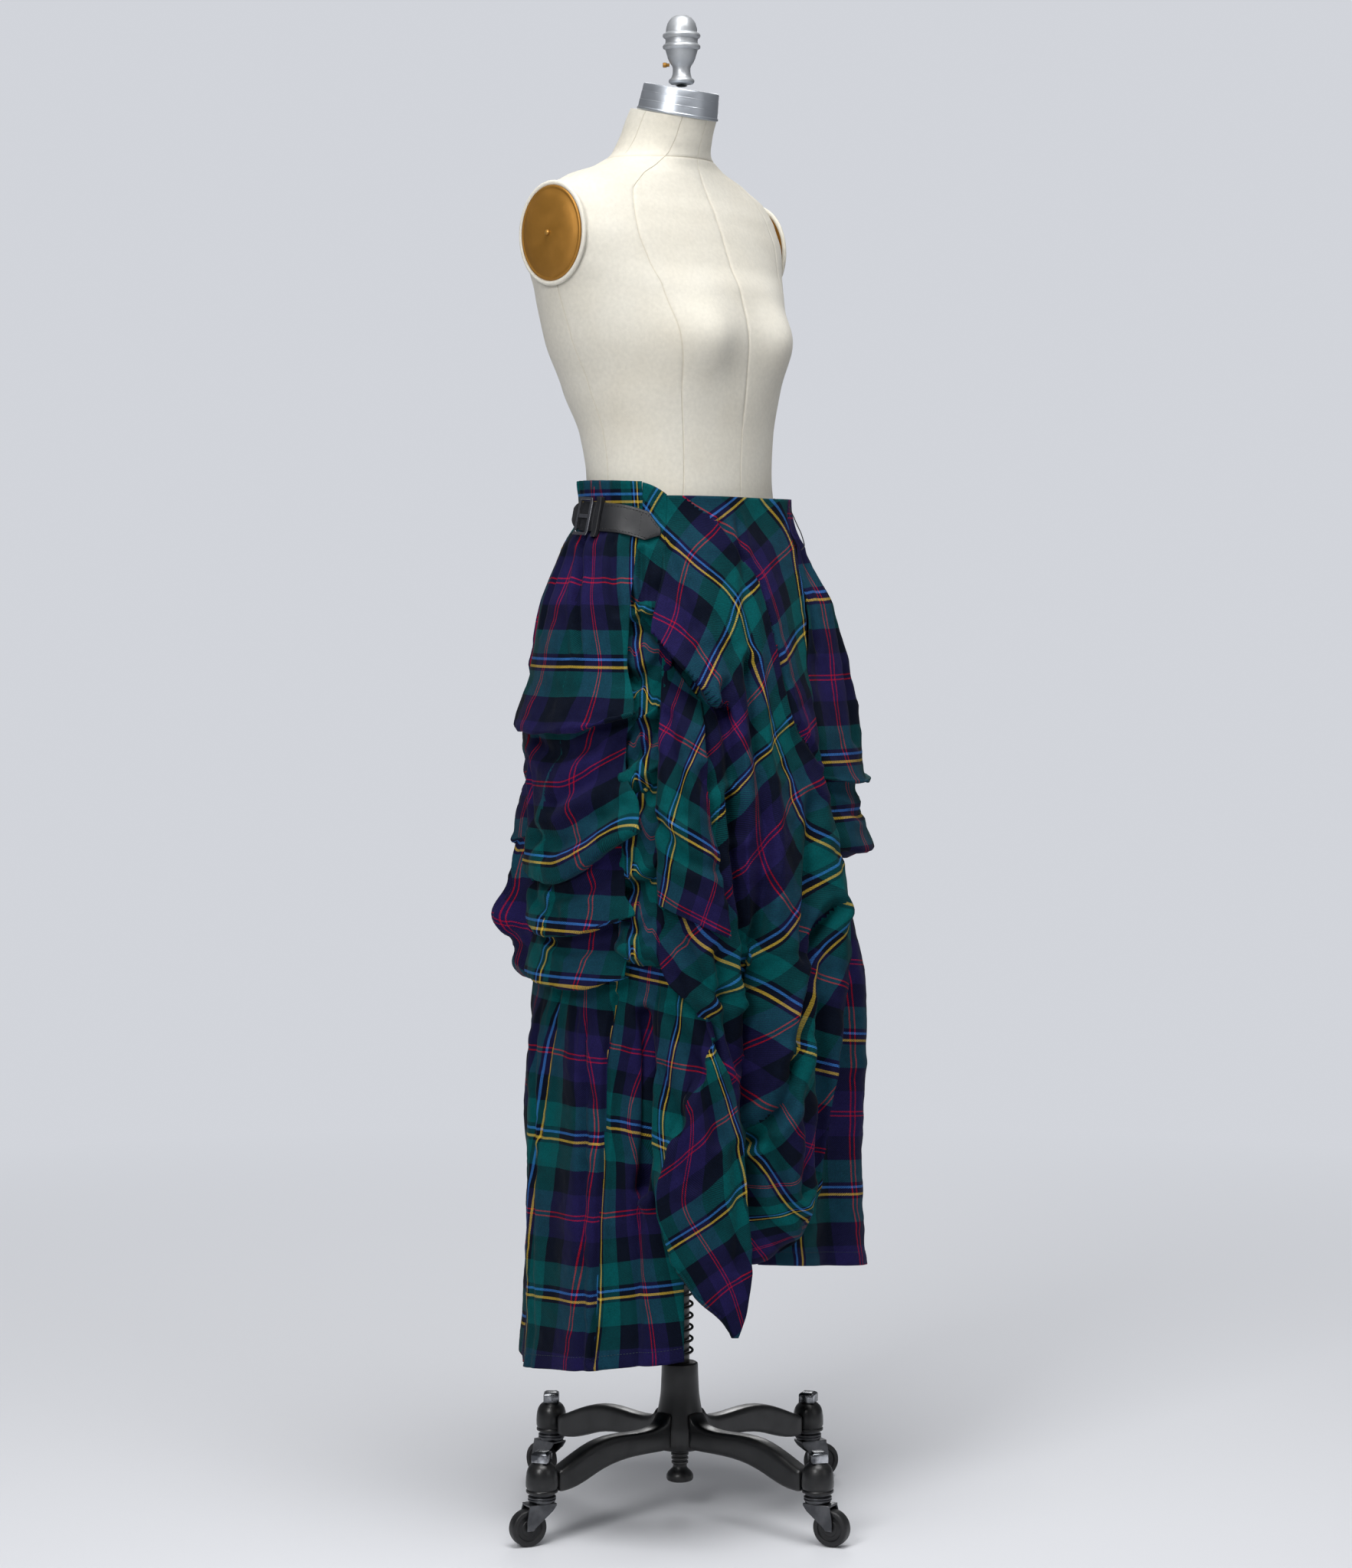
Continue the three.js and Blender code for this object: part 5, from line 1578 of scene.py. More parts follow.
FRONT_PANEL.update(
    gathers=front_folds,
    droop=lip_droop,
    stripes=front_stripes,
    slack=1.1,
    creases=[
        ([(249, 1020), (249, 930), (249, 840), (246, 700)], 8, 8),
        ([(236, 990), (238, 900), (240, 830)], 6, 8),
        ([(243, 1185), (263, 1116), (266, 1030), (269, 950), (280, 905)], 2.5, 4),
        ([(283, 890), (287, 800)], 4, 7),
        ([(278, 735), (270, 700), (263, 640), (259, 580), (254, 510), (246, 470)], 9, 7),
        ([(272, 860), (268, 760), (262, 690)], 5, 9),
        ([(258, 560), (264, 480), (262, 410)], 5, 9),
        ([(272, 620), (274, 520), (270, 430)], 4, 9),
        ([(232, 690), (236, 620), (240, 560)], 6, 7),
        ([(250, 470), (255, 400), (264, 370)], 4, 7),
        ([(215, 1150), (222, 1090), (226, 1060)], 3, 8),
        ([(256, 1180), (252, 1100), (251, 1040)], 2, 8),
        ([(237, 870), (240, 760), (243, 640)], 9, 6),
        ([(222, 700), (229, 650), (236, 640)], 5, 7),
    ],
)
FRONT_COWL.update(
    stripes=cowl_stripes,
    slack=1.0,
    creases=[
        ([(216, 960), (219, 900), (221, 850)], 4, 7),
        ([(227, 900), (231, 830), (233, 760)], 3, 6),
        ([(214, 840), (222, 800), (232, 790)], 4, 7),
    ],
)
FRONT_TAIL.update(
    fold=TAIL_FOLD,
    gathers=tail_hang,
    stripes=tail_stripes,
    slack=1.0,
    creases=[
        ([(218, 620), (226, 560), (231, 480)], 5, 7),
        ([(214, 560), (220, 500), (224, 430)], 4, 7),
        ([(236, 470), (238, 400), (238, 330)], 3, 6),
    ],
)
LEG_RIGHT.update(
    hem=17,
    gathers=leg_right_pleats,
    stripes=leg_right_stripes,
    slack=0.8,
    creases=[
        ([(197, 640), (195, 571), (194.4, 460), (193, 389), (191, 217)], 4, 3),
        ([(208, 620), (210, 540), (209, 470), (207, 420)], 11, 8),
        ([(171, 640), (168, 560), (164, 470)], 3, 5),
        ([(182, 620), (184, 560), (190, 520)], 2, 6),
        ([(214, 520), (216, 450), (213, 400)], 5, 6),
    ],
)
SIDE_LEFT.update(
    gathers=side_left_gathers,
    stripes=side_left_stripes,
    slack=1.0,
    fullness=1.2,
    creases=[
        ([(296, 1150), (292, 1040)], 3, 7),
        ([(312, 1140), (308, 1000), (304, 930)], 3, 8),
        ([(330, 1130), (328, 1010)], 3, 8),
        ([(290, 850), (304, 838), (320, 846)], 3, 6),
    ],
)
LEG_LEFT.update(hem=17, gathers=leg_left_waves, stripes=leg_left_stripes, slack=0.8)
BACK_PANEL.update(
    gathers=back_gathers,
    slack=1.1,
    fullness=1.2,
    creases=[
        ([(146, 1000), (120, 930), (90, 900)], 4, 9),
        ([(-15, 990), (20, 920), (60, 890)], 4, 9),
        ([(146, 900), (120, 860), (95, 840)], 4, 8),
        ([(-10, 900), (20, 860), (50, 835)], 4, 8),
        ([(135, 800), (141, 760), (140, 700)], 5, 6),
        ([(130, 1150), (126, 1060)], 3, 7),
        ([(90, 1150), (92, 1050)], 3, 7),
        ([(45, 1150), (48, 1060)], 3, 7),
    ],
)
BACK_LOWER.update(hem=17, gathers=back_lower_waves, slack=0.8)

cloth_panel("side_right", SIDE_RIGHT)
cloth_panel("ruche_right", RUCHE_RIGHT)
cloth_panel("front_panel", FRONT_PANEL)
cloth_panel("front_cowl", FRONT_COWL)
cloth_panel("front_tail", FRONT_TAIL)
cloth_panel("leg_right", LEG_RIGHT)
cloth_panel("side_left", SIDE_LEFT)
cloth_panel("leg_left", LEG_LEFT)
cloth_panel("back_panel", BACK_PANEL)
cloth_panel("back_lower", BACK_LOWER)


# ---------------------------------------------------------------- tools for hard pieces
def select_faces(piece, test):
    """Selects the faces whose centre and normal pass a test, in edit mode."""
    shape = bmesh.from_edit_mesh(piece.data)
    for face in shape.faces:
        if test(face.calc_center_median(), face.normal):
            face.select_set(True)
    bmesh.update_edit_mesh(piece.data)


def settle(piece, name, material, bevel=0.6, angle=30, segments=2):
    """Names a piece, rounds its edges, smooths it, and leaves its place in its mesh."""
    if bpy.context.object.mode == "EDIT":
        bpy.ops.object.mode_set(mode="OBJECT")
    select_only(piece)
    bpy.ops.object.transform_apply(location=True, rotation=True, scale=True)
    piece.name = name
    piece.data.name = name
    if bevel:
        rounding = piece.modifiers.new("rounded edges", "BEVEL")
        rounding.width = bevel * MM
        rounding.segments = segments
        rounding.limit_method = "ANGLE"
        rounding.angle_limit = math.radians(angle)
        rounding.harden_normals = False
        apply_modifiers(piece)
    select_only(piece)
    bpy.ops.object.shade_smooth_by_angle(angle=math.radians(38))
    piece.data.materials.clear()
    piece.data.materials.append(material)
    return piece


def turned(name, profile, material, place=(0, 0, 0), sides=64, bevel=0.5):
    """A turned piece: a disc is extruded up and sized at each stop of its profile of radius and height."""
    x, y, z = place
    bpy.ops.object.select_all(action="DESELECT")
    radius, height = profile[0]
    bpy.ops.mesh.primitive_circle_add(
        vertices=sides, radius=radius * MM, fill_type="NGON", location=(x * MM, y * MM, (z + height) * MM)
    )
    piece = bpy.context.object
    bpy.ops.object.mode_set(mode="EDIT")
    bpy.ops.mesh.select_all(action="SELECT")
    for next_radius, next_height in profile[1:]:
        rise = (next_height - height) * MM
        bpy.ops.mesh.extrude_region_move(TRANSFORM_OT_translate={"value": (0, 0, rise)})
        size = next_radius / radius
        centre = (x * MM, y * MM, (z + next_height) * MM)
        bpy.ops.transform.resize(value=(size, size, 1), center_override=centre)
        radius, height = next_radius, next_height
    bpy.ops.mesh.select_all(action="SELECT")
    bpy.ops.mesh.normals_make_consistent(inside=False)
    return settle(piece, name, material, bevel)


def moved(piece, matrix):
    """Moves a finished piece's mesh."""
    piece.data.transform(matrix)
    piece.data.update()
    return piece


def copied(piece, name, matrix):
    """A copy of a finished piece with its own mesh, moved."""
    twin = piece.copy()
    twin.data = piece.data.copy()
    twin.name = name
    twin.data.name = name
    bpy.context.scene.collection.objects.link(twin)
    return moved(twin, matrix)


def stands_for(piece, node, body):
    """Puts a finished piece in the place of its CAD node."""
    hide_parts(node)
    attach(piece, body)
    return piece


def turn_z(degrees):
    """A turn about the upright axis."""
    return Matrix.Rotation(math.radians(degrees), 4, "Z")


def heading(degrees):
    """The level unit vector in a direction."""
    return Vector((math.cos(math.radians(degrees)), math.sin(math.radians(degrees)), 0))


# ---------------------------------------------------------------- dress form
NECK_TILT = 12
NECK_PLANE = (4, 1664)
ARM_FLAT_X = 184
BUST = {"x": 72, "z": 1396, "out": 22, "spread_x": 42, "spread_z": 44}
FORM_SEAMS = (0, 52, 90, 128, 180, 232, 270, 308)
PLATE = {"half_width": 46, "half_height": 55, "y": 37, "z": 1515}


def torso_points(degrees, z):
    """Points of the form's canvas in millimetres, with its neck leaning forward."""
    width, front, back, lean = torso_section(z)
    turn = np.radians(degrees)
    x = width * np.cos(turn)
    y = lean + np.where(np.sin(turn) < 0, front, back) * np.sin(turn)
    aside = (np.abs(x) - BUST["x"]) / BUST["spread_x"]
    above = (z - BUST["z"]) / BUST["spread_z"]
    bump = np.exp(-(aside**2) - above**2)
    y = y + np.where(np.sin(turn) < 0, BUST["out"] * bump * np.sin(turn), 0)
    x = np.clip(x, -ARM_FLAT_X, ARM_FLAT_X)
    drop = math.tan(math.radians(NECK_TILT)) * (y - NECK_PLANE[0]) * smoothstep(1600, 1668, z)
    return np.stack([x, y, z + drop], axis=-1)


def form_canvas():
    """The form's canvas in eight panels, with a sewn groove at each seam and round the neck."""
    columns = set(np.arange(0, 360, 2.0))
    for seam in FORM_SEAMS:
        columns |= {seam - 0.5 + 360 * (seam < 1), seam + 0.0, seam + 0.5}
    columns = np.array(sorted(columns))
    heights = np.concatenate([np.arange(880, 1590, 6.0), np.arange(1590, 1664.1, 3.7)])
    neck_seam = 1612
    heights = np.array(sorted(set(heights) | {neck_seam - 1.5, neck_seam + 0.0, neck_seam + 1.5}))
    z, degrees = np.meshgrid(heights, columns, indexing="ij")
    points = torso_points(degrees, z)
    near = np.zeros_like(z)
    for seam in FORM_SEAMS:
        gap = np.abs((degrees - seam + 180) % 360 - 180)
        near = np.maximum(near, np.clip(1 - gap / 0.5, 0, 1))
    near = np.maximum(near, np.clip(1 - np.abs(z - neck_seam) / 1.5, 0, 1))
    ring = np.roll(points, 1, axis=1)
    along = np.roll(points, -1, axis=1) - ring
    up = np.gradient(points, axis=0)
    normal = np.cross(along, up)
    normal /= np.linalg.norm(normal, axis=-1, keepdims=True)
    points = points - normal * near[..., None] * 0.9
    wrapped = np.concatenate([points, points[:, :1]], axis=1)
    piece = mesh_from_grid("form_canvas", wrapped[::-1])
    rows, width = wrapped.shape[:2]
    step = np.linalg.norm(np.diff(wrapped, axis=1), axis=-1)
    girth = np.concatenate([np.zeros((rows, 1)), np.cumsum(step, axis=1)], axis=1)
    closeness = np.concatenate([near, near[:, :1]], axis=1)
    for label, values in (("girth", girth * MM), ("seam", closeness)):
        layer = piece.data.attributes.new(label, "FLOAT", "POINT")
        layer.data.foreach_set("value", values[::-1].ravel().astype(np.float32))
    in_edit_mode(piece, "VERT")
    bpy.ops.mesh.select_all(action="SELECT")
    bpy.ops.mesh.remove_doubles(threshold=0.00001)
    bpy.ops.mesh.select_all(action="DESELECT")
    bpy.ops.mesh.select_non_manifold()
    bpy.ops.mesh.fill_holes(sides=0)
    bpy.ops.mesh.select_all(action="SELECT")
    bpy.ops.mesh.normals_make_consistent(inside=False)
    settle(piece, "form_canvas", CANVAS, bevel=0)
    return stands_for(piece, "form_torso", "form")


form_canvas()

CAP_PROFILE = [
    (47.6, 0), (48.5, 0.8), (48.5, 3), (47.4, 4), (47.1, 10.6), (46.9, 11), (46.9, 12.4), (46.6, 12.8), (46.1, 20.6),
    (45.9, 21), (45.9, 22.4), (45.6, 22.8), (45.2, 30), (44.3, 31.4), (42.6, 32), (20, 32), (4, 31.6),
]
cap = turned("cap", CAP_PROFILE, TURNED_ALUMINIUM, sides=96, bevel=0.25)
tilt = Matrix.Translation((0, NECK_PLANE[0] * MM, (NECK_PLANE[1] + 0.3) * MM)) @ Matrix.Rotation(
    math.radians(NECK_TILT), 4, "X"
)
stands_for(moved(cap, tilt), "neck_cap", "form")

FINIAL_PROFILE = [
    (11, 0), (13, 0.2), (15.1, 2.2), (15.3, 3.4), (15, 5), (13.2, 6.6), (12, 8), (10.9, 11), (10.4, 14), (10.4, 19),
    (11.4, 21.6), (13.8, 25), (16, 29.5), (17, 33), (18.2, 37), (19, 40), (21.6, 41.6), (22.3, 43), (22.3, 44.4),
    (21.6, 45.6), (19.4, 47.2), (18.9, 50), (19.3, 53), (21.6, 54.6), (22.3, 56), (22.3, 57.4), (21.4, 58.8),
    (18.6, 60.5), (18.4, 64), (17.8, 67), (16.6, 71), (14.5, 74.5), (12, 77.4), (9, 79.5), (5, 80.7), (1.2, 81),
]
FINIAL_PLACE = (0, -2.6, 1700)
finial = turned("finial_casting", FINIAL_PROFILE, CAST_ALUMINIUM, FINIAL_PLACE, sides=48, bevel=0)
stands_for(finial, "finial", "form")

PLATE_PROFILE = [
    (44.4, 0), (45.6, 0.4), (46, 1.4), (45.4, 2.6), (44, 3.3), (42.6, 2.7), (41.4, 3.1), (38, 4.5), (34.5, 5.8),
    (28, 6.7), (18.4, 7.4), (9, 7.8), (2, 8),
]
for side, sign in (("right", -1), ("left", 1)):
    plate = turned("plate_" + side, PLATE_PROFILE, AGED_BRASS, sides=96, bevel=0.3)
    stretch = Matrix.Diagonal((1, PLATE["half_height"] / PLATE["half_width"], 1, 1))
    stand_up = Matrix.Rotation(math.radians(90), 4, "X") @ Matrix.Rotation(math.radians(90), 4, "Y")
    seat = Matrix.Translation((sign * (ARM_FLAT_X + 0.3) * MM, PLATE["y"] * MM, PLATE["z"] * MM))
    face = Matrix.Rotation(math.radians(90 - 90 * sign), 4, "Z")
    moved(plate, seat @ face @ stand_up @ stretch)
    stands_for(plate, "arm_plate_" + side, "form")


def plate_rim(side, sign):
    """The piped canvas edge that stands round an arm plate."""
    bpy.ops.object.select_all(action="DESELECT")
    bpy.ops.mesh.primitive_torus_add(
        major_segments=96,
        minor_segments=12,
        major_radius=(PLATE["half_width"] + 2.4) * MM,
        minor_radius=2.6 * MM,
        location=(0, 0, 0),
    )
    rim = bpy.context.object
    bpy.ops.object.mode_set(mode="EDIT")
    bpy.ops.mesh.select_all(action="SELECT")
    tall = (PLATE["half_height"] + 2.4) / (PLATE["half_width"] + 2.4)
    bpy.ops.transform.resize(value=(1, tall, 1), center_override=(0, 0, 0))
    settle(rim, "plate_rim_" + side, CANVAS, bevel=0)
    stand_up = Matrix.Rotation(math.radians(90), 4, "X") @ Matrix.Rotation(math.radians(90), 4, "Y")
    moved(rim, Matrix.Translation((sign * ARM_FLAT_X * MM, PLATE["y"] * MM, PLATE["z"] * MM)) @ stand_up)
    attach(rim, "form")


plate_rim("right", -1)
plate_rim("left", 1)


# ---------------------------------------------------------------- stand
TUBE_PROFILE = [
    (11.5, 96.3), (11.5, 497), (13.5, 498.5), (15.6, 499.4), (16, 500.4), (16, 517.6), (15, 519.4), (14, 520), (8.4, 520),
]
tube = turned("stand_tube_black", TUBE_PROFILE, BLACK_ENAMEL, sides=48)
stands_for(tube, "stand_tube", "base")

HUB_PROFILE = [
    (22, 76), (26.5, 76.6), (30, 80), (31.2, 88), (31, 100), (29.8, 108), (28, 116), (26, 125), (24.5, 134), (23.4, 142),
    (22.8, 150), (22.2, 164), (21.8, 177), (21.4, 179), (20, 180), (12, 180),
]
hub = turned("hub_casting", HUB_PROFILE, BLACK_ENAMEL, sides=64, bevel=0)
stands_for(hub, "hub", "base")

FOOT_PROFILE = [
    (8, 36), (12.5, 36.2), (15.2, 37.4), (16.3, 40), (16.1, 43.6), (14.6, 46.6), (12, 49.4), (9, 52.2), (8.2, 55), (8.6, 57),
    (10, 58), (10, 60), (8.8, 61), (8.8, 62), (10.2, 63), (10.2, 65), (9, 66), (9, 67), (10.6, 68), (10.6, 70), (9.4, 71),
    (9.4, 72), (11.2, 73), (11.5, 75.7),
]
foot = turned("foot_casting", FOOT_PROFILE, BLACK_ENAMEL, sides=48, bevel=0)
stands_for(foot, "pole_foot", "base")


def spring_coil():
    """The black coil spring on the tube: a round wire section screwed up round the pole."""
    bpy.ops.object.select_all(action="DESELECT")
    bpy.ops.mesh.primitive_circle_add(
        vertices=10, radius=1.6 * MM, location=(15.2 * MM, 0, 182.4 * MM), rotation=(math.radians(90), 0, 0)
    )
    coil = bpy.context.object
    bpy.ops.object.transform_apply(location=True, rotation=True, scale=True)
    screw = coil.modifiers.new("coil", "SCREW")
    screw.angle = math.radians(360 * 8)
    screw.screw_offset = 112 * MM
    screw.steps = 32 * 8
    screw.render_steps = 32 * 8
    apply_modifiers(coil)
    in_edit_mode(coil, "EDGE")
    bpy.ops.mesh.select_non_manifold()
    bpy.ops.mesh.fill_holes(sides=0)
    bpy.ops.mesh.select_all(action="SELECT")
    bpy.ops.mesh.normals_make_consistent(inside=False)
    settle(coil, "spring_coil", BLACK_WIRE, bevel=0)
    return stands_for(coil, "spring", "base")


spring_coil()

ARM_TURNS = {"front": 265, "right": 175, "back": 85, "left": 355}
CASTOR_REACH = 226
CASTOR_TRAIL = {"front": 282, "right": 156, "back": 85, "left": 335}
# Distance from the pole, lowest and highest point, and half width.
ARM_STOPS = [
    (26, 80, 126, 15),
    (36, 79, 112, 13),
    (52, 79, 107, 11.4),
    (80, 80, 107.5, 11),
    (108, 79, 110.5, 11),
    (136, 74, 109, 11),
    (158, 66, 103, 11),
    (178, 60, 95, 11.4),
    (196, 58.5, 87, 12),
    (207, 58.5, 84, 11),
]


def stand_arm():
    """One cast arm: a block is extruded outwards and shaped at each stop, then smoothed."""
    bpy.ops.object.select_all(action="DESELECT")
    reach, low, high, half = ARM_STOPS[0]
    bpy.ops.mesh.primitive_plane_add(size=1, location=(0, 0, 0))
    arm = bpy.context.object
    bpy.ops.object.mode_set(mode="EDIT")
    bpy.ops.mesh.select_all(action="SELECT")
    centre = Vector((reach, 0, (low + high) / 2)) * MM
    bpy.ops.transform.rotate(value=math.radians(90), orient_axis="Y", center_override=(0, 0, 0))
    bpy.ops.transform.resize(value=(1, 2 * half * MM, (high - low) * MM), center_override=(0, 0, 0))
    bpy.ops.transform.translate(value=centre)
    for new_reach, new_low, new_high, new_half in ARM_STOPS[1:]:
        new_centre = Vector((new_reach, 0, (new_low + new_high) / 2)) * MM
        bpy.ops.mesh.extrude_region_move(TRANSFORM_OT_translate={"value": new_centre - centre})
        size = (1, new_half / half, (new_high - new_low) / (high - low))
        bpy.ops.transform.resize(value=size, center_override=new_centre)
        centre, half, low, high = new_centre, new_half, new_low, new_high
    bpy.ops.mesh.select_all(action="SELECT")
    bpy.ops.mesh.normals_make_consistent(inside=False)
    bpy.ops.object.mode_set(mode="OBJECT")
    edges = arm.modifiers.new("cast edges", "BEVEL")
    edges.width = 5.5 * MM
    edges.segments = 3
    edges.limit_method = "ANGLE"
    edges.angle_limit = math.radians(50)
    flow = arm.modifiers.new("flow", "SUBSURF")
    flow.levels = 1
    flow.render_levels = 1
    apply_modifiers(arm)
    return settle(arm, "arm_master", BLACK_ENAMEL, bevel=0)


arm_master = stand_arm()
for name, degrees in ARM_TURNS.items():
    arm = copied(arm_master, "arm_casting_" + name, turn_z(degrees))
    stands_for(arm, "arm_" + name, "base")
bpy.data.objects.remove(arm_master)

BELL_PROFILE = [
    (16.6, 61), (18.1, 61.4), (18.6, 62.6), (18.4, 64.2), (17.4, 65.2), (17.8, 66.6), (18.7, 68), (18.8, 74), (18.5, 79),
    (17.8, 84.5), (16.6, 88.6), (14.8, 91.8), (12.4, 94.4), (11, 95.2), (10.6, 95.4), (10.2, 96), (4, 96),
]
RACE_PROFILE = [
    (10, 49.2), (13, 49.2), (15, 50.6), (16.2, 52.6), (16.4, 53.6), (15, 54.2), (15, 55), (16.4, 55.6), (16.2, 56.8),
    (14.6, 58), (14, 58.6), (14, 60.5), (8, 60.5),
]
NUT_PROFILE = [(13.4, 96.3), (13.6, 97), (13.6, 106.4), (12.6, 107.6), (10.6, 108.6), (9, 109.4), (3, 109.5)]
TYRE_PROFILE = [
    (3.6, -6.4), (9, -6.4), (9.6, -5.6), (14.4, -5.6), (15.2, -7.6), (18.6, -8), (20.2, -7.4), (21.2, -5.8), (21.6, -3.4),
    (21.7, 0), (21.6, 3.4), (21.2, 5.8), (20.2, 7.4), (18.6, 8), (15.2, 7.6), (14.4, 5.6), (9.6, 5.6), (9, 6.4), (3.6, 6.4),
]
WHEEL_TRAIL = 18
FORK_GAP = 9.0
WHEEL_HEIGHT = 22 * math.cos(math.pi / 20)


def castor_fork():
    """The pressed steel fork: a top plate with two sides extruded down to the axle, under a turned ball race."""
    race = turned("race_master", RACE_PROFILE, POLISHED_STEEL, sides=48, bevel=0.2)
    bpy.ops.object.select_all(action="DESELECT")
    bpy.ops.mesh.primitive_cube_add(size=1, location=(3 * MM, 0, 47.9 * MM))
    fork = bpy.context.object
    fork.scale = (34 * MM, 22.8 * MM, 2.6 * MM)
    bpy.ops.object.transform_apply(location=True, rotation=True, scale=True)
    in_edit_mode(fork)
    for sign in (-1, 1):
        bpy.ops.mesh.select_all(action="SELECT")
        bpy.ops.mesh.bisect(plane_co=(0, sign * FORK_GAP * MM, 0), plane_no=(0, 1, 0))
        bpy.ops.mesh.select_all(action="DESELECT")
        select_faces(fork, lambda centre, normal: normal.z < -0.9 and centre.y * sign > 9.2 * MM)
        for drop, slide, size in ((6, 3, 0.92), (10, 7, 0.66), (8, 5, 0.52), (3.2, 1.0, 0.8)):
            bpy.ops.mesh.extrude_region_move(TRANSFORM_OT_translate={"value": (slide * MM, 0, -drop * MM)})
            shape = bmesh.from_edit_mesh(fork.data)
            low = [vertex.co.copy() for vertex in shape.verts if vertex.select]
            middle = sum(low, Vector()) / len(low)
            bpy.ops.transform.resize(value=(size, 1, 1), center_override=middle)
    settle(fork, "fork_master", POLISHED_STEEL, bevel=0.6, segments=2)
    select_only(fork)
    race.select_set(True)
    bpy.ops.object.join()
    return fork


fork_master = castor_fork()
bell_master = turned("bell_master", BELL_PROFILE, BLACK_ENAMEL, sides=48, bevel=0)
nut_master = turned("nut_master", NUT_PROFILE, BRIGHT_CHROME, sides=4, bevel=0.9)
tyre_master = turned("tyre_master", TYRE_PROFILE, BLACK_RUBBER, sides=64, bevel=0.3)
upright = Matrix.Rotation(math.radians(90), 4, "X")
moved(tyre_master, Matrix.Translation((WHEEL_TRAIL * MM, 0, WHEEL_HEIGHT * MM)) @ upright)
for name, degrees in ARM_TURNS.items():
    seat = Matrix.Translation(heading(degrees) * CASTOR_REACH * MM) @ turn_z(CASTOR_TRAIL[name])
    stands_for(copied(bell_master, "bell_casting_" + name, seat), "bell_" + name, "base")
    stands_for(copied(nut_master, "nut_plated_" + name, seat), "nut_" + name, "base")
    stands_for(copied(fork_master, "fork_pressed_" + name, seat), "fork_" + name, "castor_" + name)
    stands_for(copied(tyre_master, "tyre_" + name, seat), "wheel_" + name, "wheel_" + name)
for master in (fork_master, bell_master, nut_master, tyre_master):
    bpy.data.objects.remove(master)


# ---------------------------------------------------------------- belt
def band_points(degrees, edge, lift, height):
    """Points of a band laid round the hip, in millimetres."""
    half = 17
    z = height
    top = cloth_radius(degrees, z + half, 0)
    bottom = cloth_radius(degrees, z - half, 0)
    straight = bottom + (top - bottom) * (edge + half) / (2 * half)
    radius = np.maximum(straight, cloth_radius(degrees, z + edge, 0)) + 0.9 + lift
    return to_xyz(degrees, z + edge, radius)


def strap_height(degrees):
    """Height of the strap's centre line, which falls slightly towards its tip."""
    dip = np.maximum(degrees - 186, 0)
    return 1190 - 0.16 * (degrees - 178) - 0.022 * dip**2


def band(name, start, end, width, lift, thickness, material, bevel=0.8, steps=40, rows=10, crown=0.0, window=None):
    """A strap, roll or plate bent round the hip, with a window left out between rows and columns if named."""
    t, v = np.meshgrid(np.linspace(0, 1, steps + 1), np.linspace(-1, 1, rows + 1), indexing="ij")
    degrees = start + (end - start) * t
    edge = v * width(t) / 2
    height = strap_height(degrees)
    inner = band_points(degrees, edge, lift, height)
    outer = band_points(degrees, edge, lift + thickness + crown * (1 - v**2), height)
    count = (steps + 1) * (rows + 1)
    index = np.arange(count).reshape(steps + 1, rows + 1)
    i0, i1, j0, j1 = window or (0, 0, 0, 0)
    faces = []
    for i in range(steps):
        for j in range(rows):
            if i0 <= i < i1 and j0 <= j < j1:
                continue
            a, b, c, d = index[i, j], index[i + 1, j], index[i + 1, j + 1], index[i, j + 1]
            faces.append((a, d, c, b))
            faces.append((a + count, b + count, c + count, d + count))
    rims = [[*index[:, 0], *index[-1, 1:], *index[-2::-1, -1], *index[0, -2:0:-1]]]
    if window:
        hole = index[i0 : i1 + 1, j0 : j1 + 1]
        rims.append([*hole[:, 0], *hole[-1, 1:], *hole[-2::-1, -1], *hole[0, -2:0:-1]])
    for rim in rims:
        for a, b in zip(rim, rim[1:] + rim[:1]):
            faces.append((a, b, b + count, a + count))
    mesh = bpy.data.meshes.new(name)
    points = np.concatenate([inner.reshape(-1, 3), outer.reshape(-1, 3)]) * MM
    mesh.from_pydata(points.tolist(), [], [tuple(int(k) for k in face) for face in faces])
    piece = bpy.data.objects.new(name, mesh)
    bpy.context.scene.collection.objects.link(piece)
    in_edit_mode(piece)
    bpy.ops.mesh.select_all(action="SELECT")
    bpy.ops.mesh.remove_doubles(threshold=0.00001)
    bpy.ops.mesh.normals_make_consistent(inside=False)
    return settle(piece, name, material, bevel=bevel, angle=50)


STRAP = {"start": 182.75, "end": 211, "width": 33, "thickness": 3, "point": 0.76}


def strap_width(t):
    """The strap's width, which narrows to its pointed tip."""
    past = np.clip((t - STRAP["point"]) / (1 - STRAP["point"]), 0, 1)
    return STRAP["width"] * (1 - 0.8 * past)


def even(size):
    """A width that stays the same along a band."""
    return lambda t: size + 0 * t


def stub_width(t):
    """The stub's width, from its tip to the buckle."""
    return 14 + 16 * np.minimum(t * 1.6, 1)


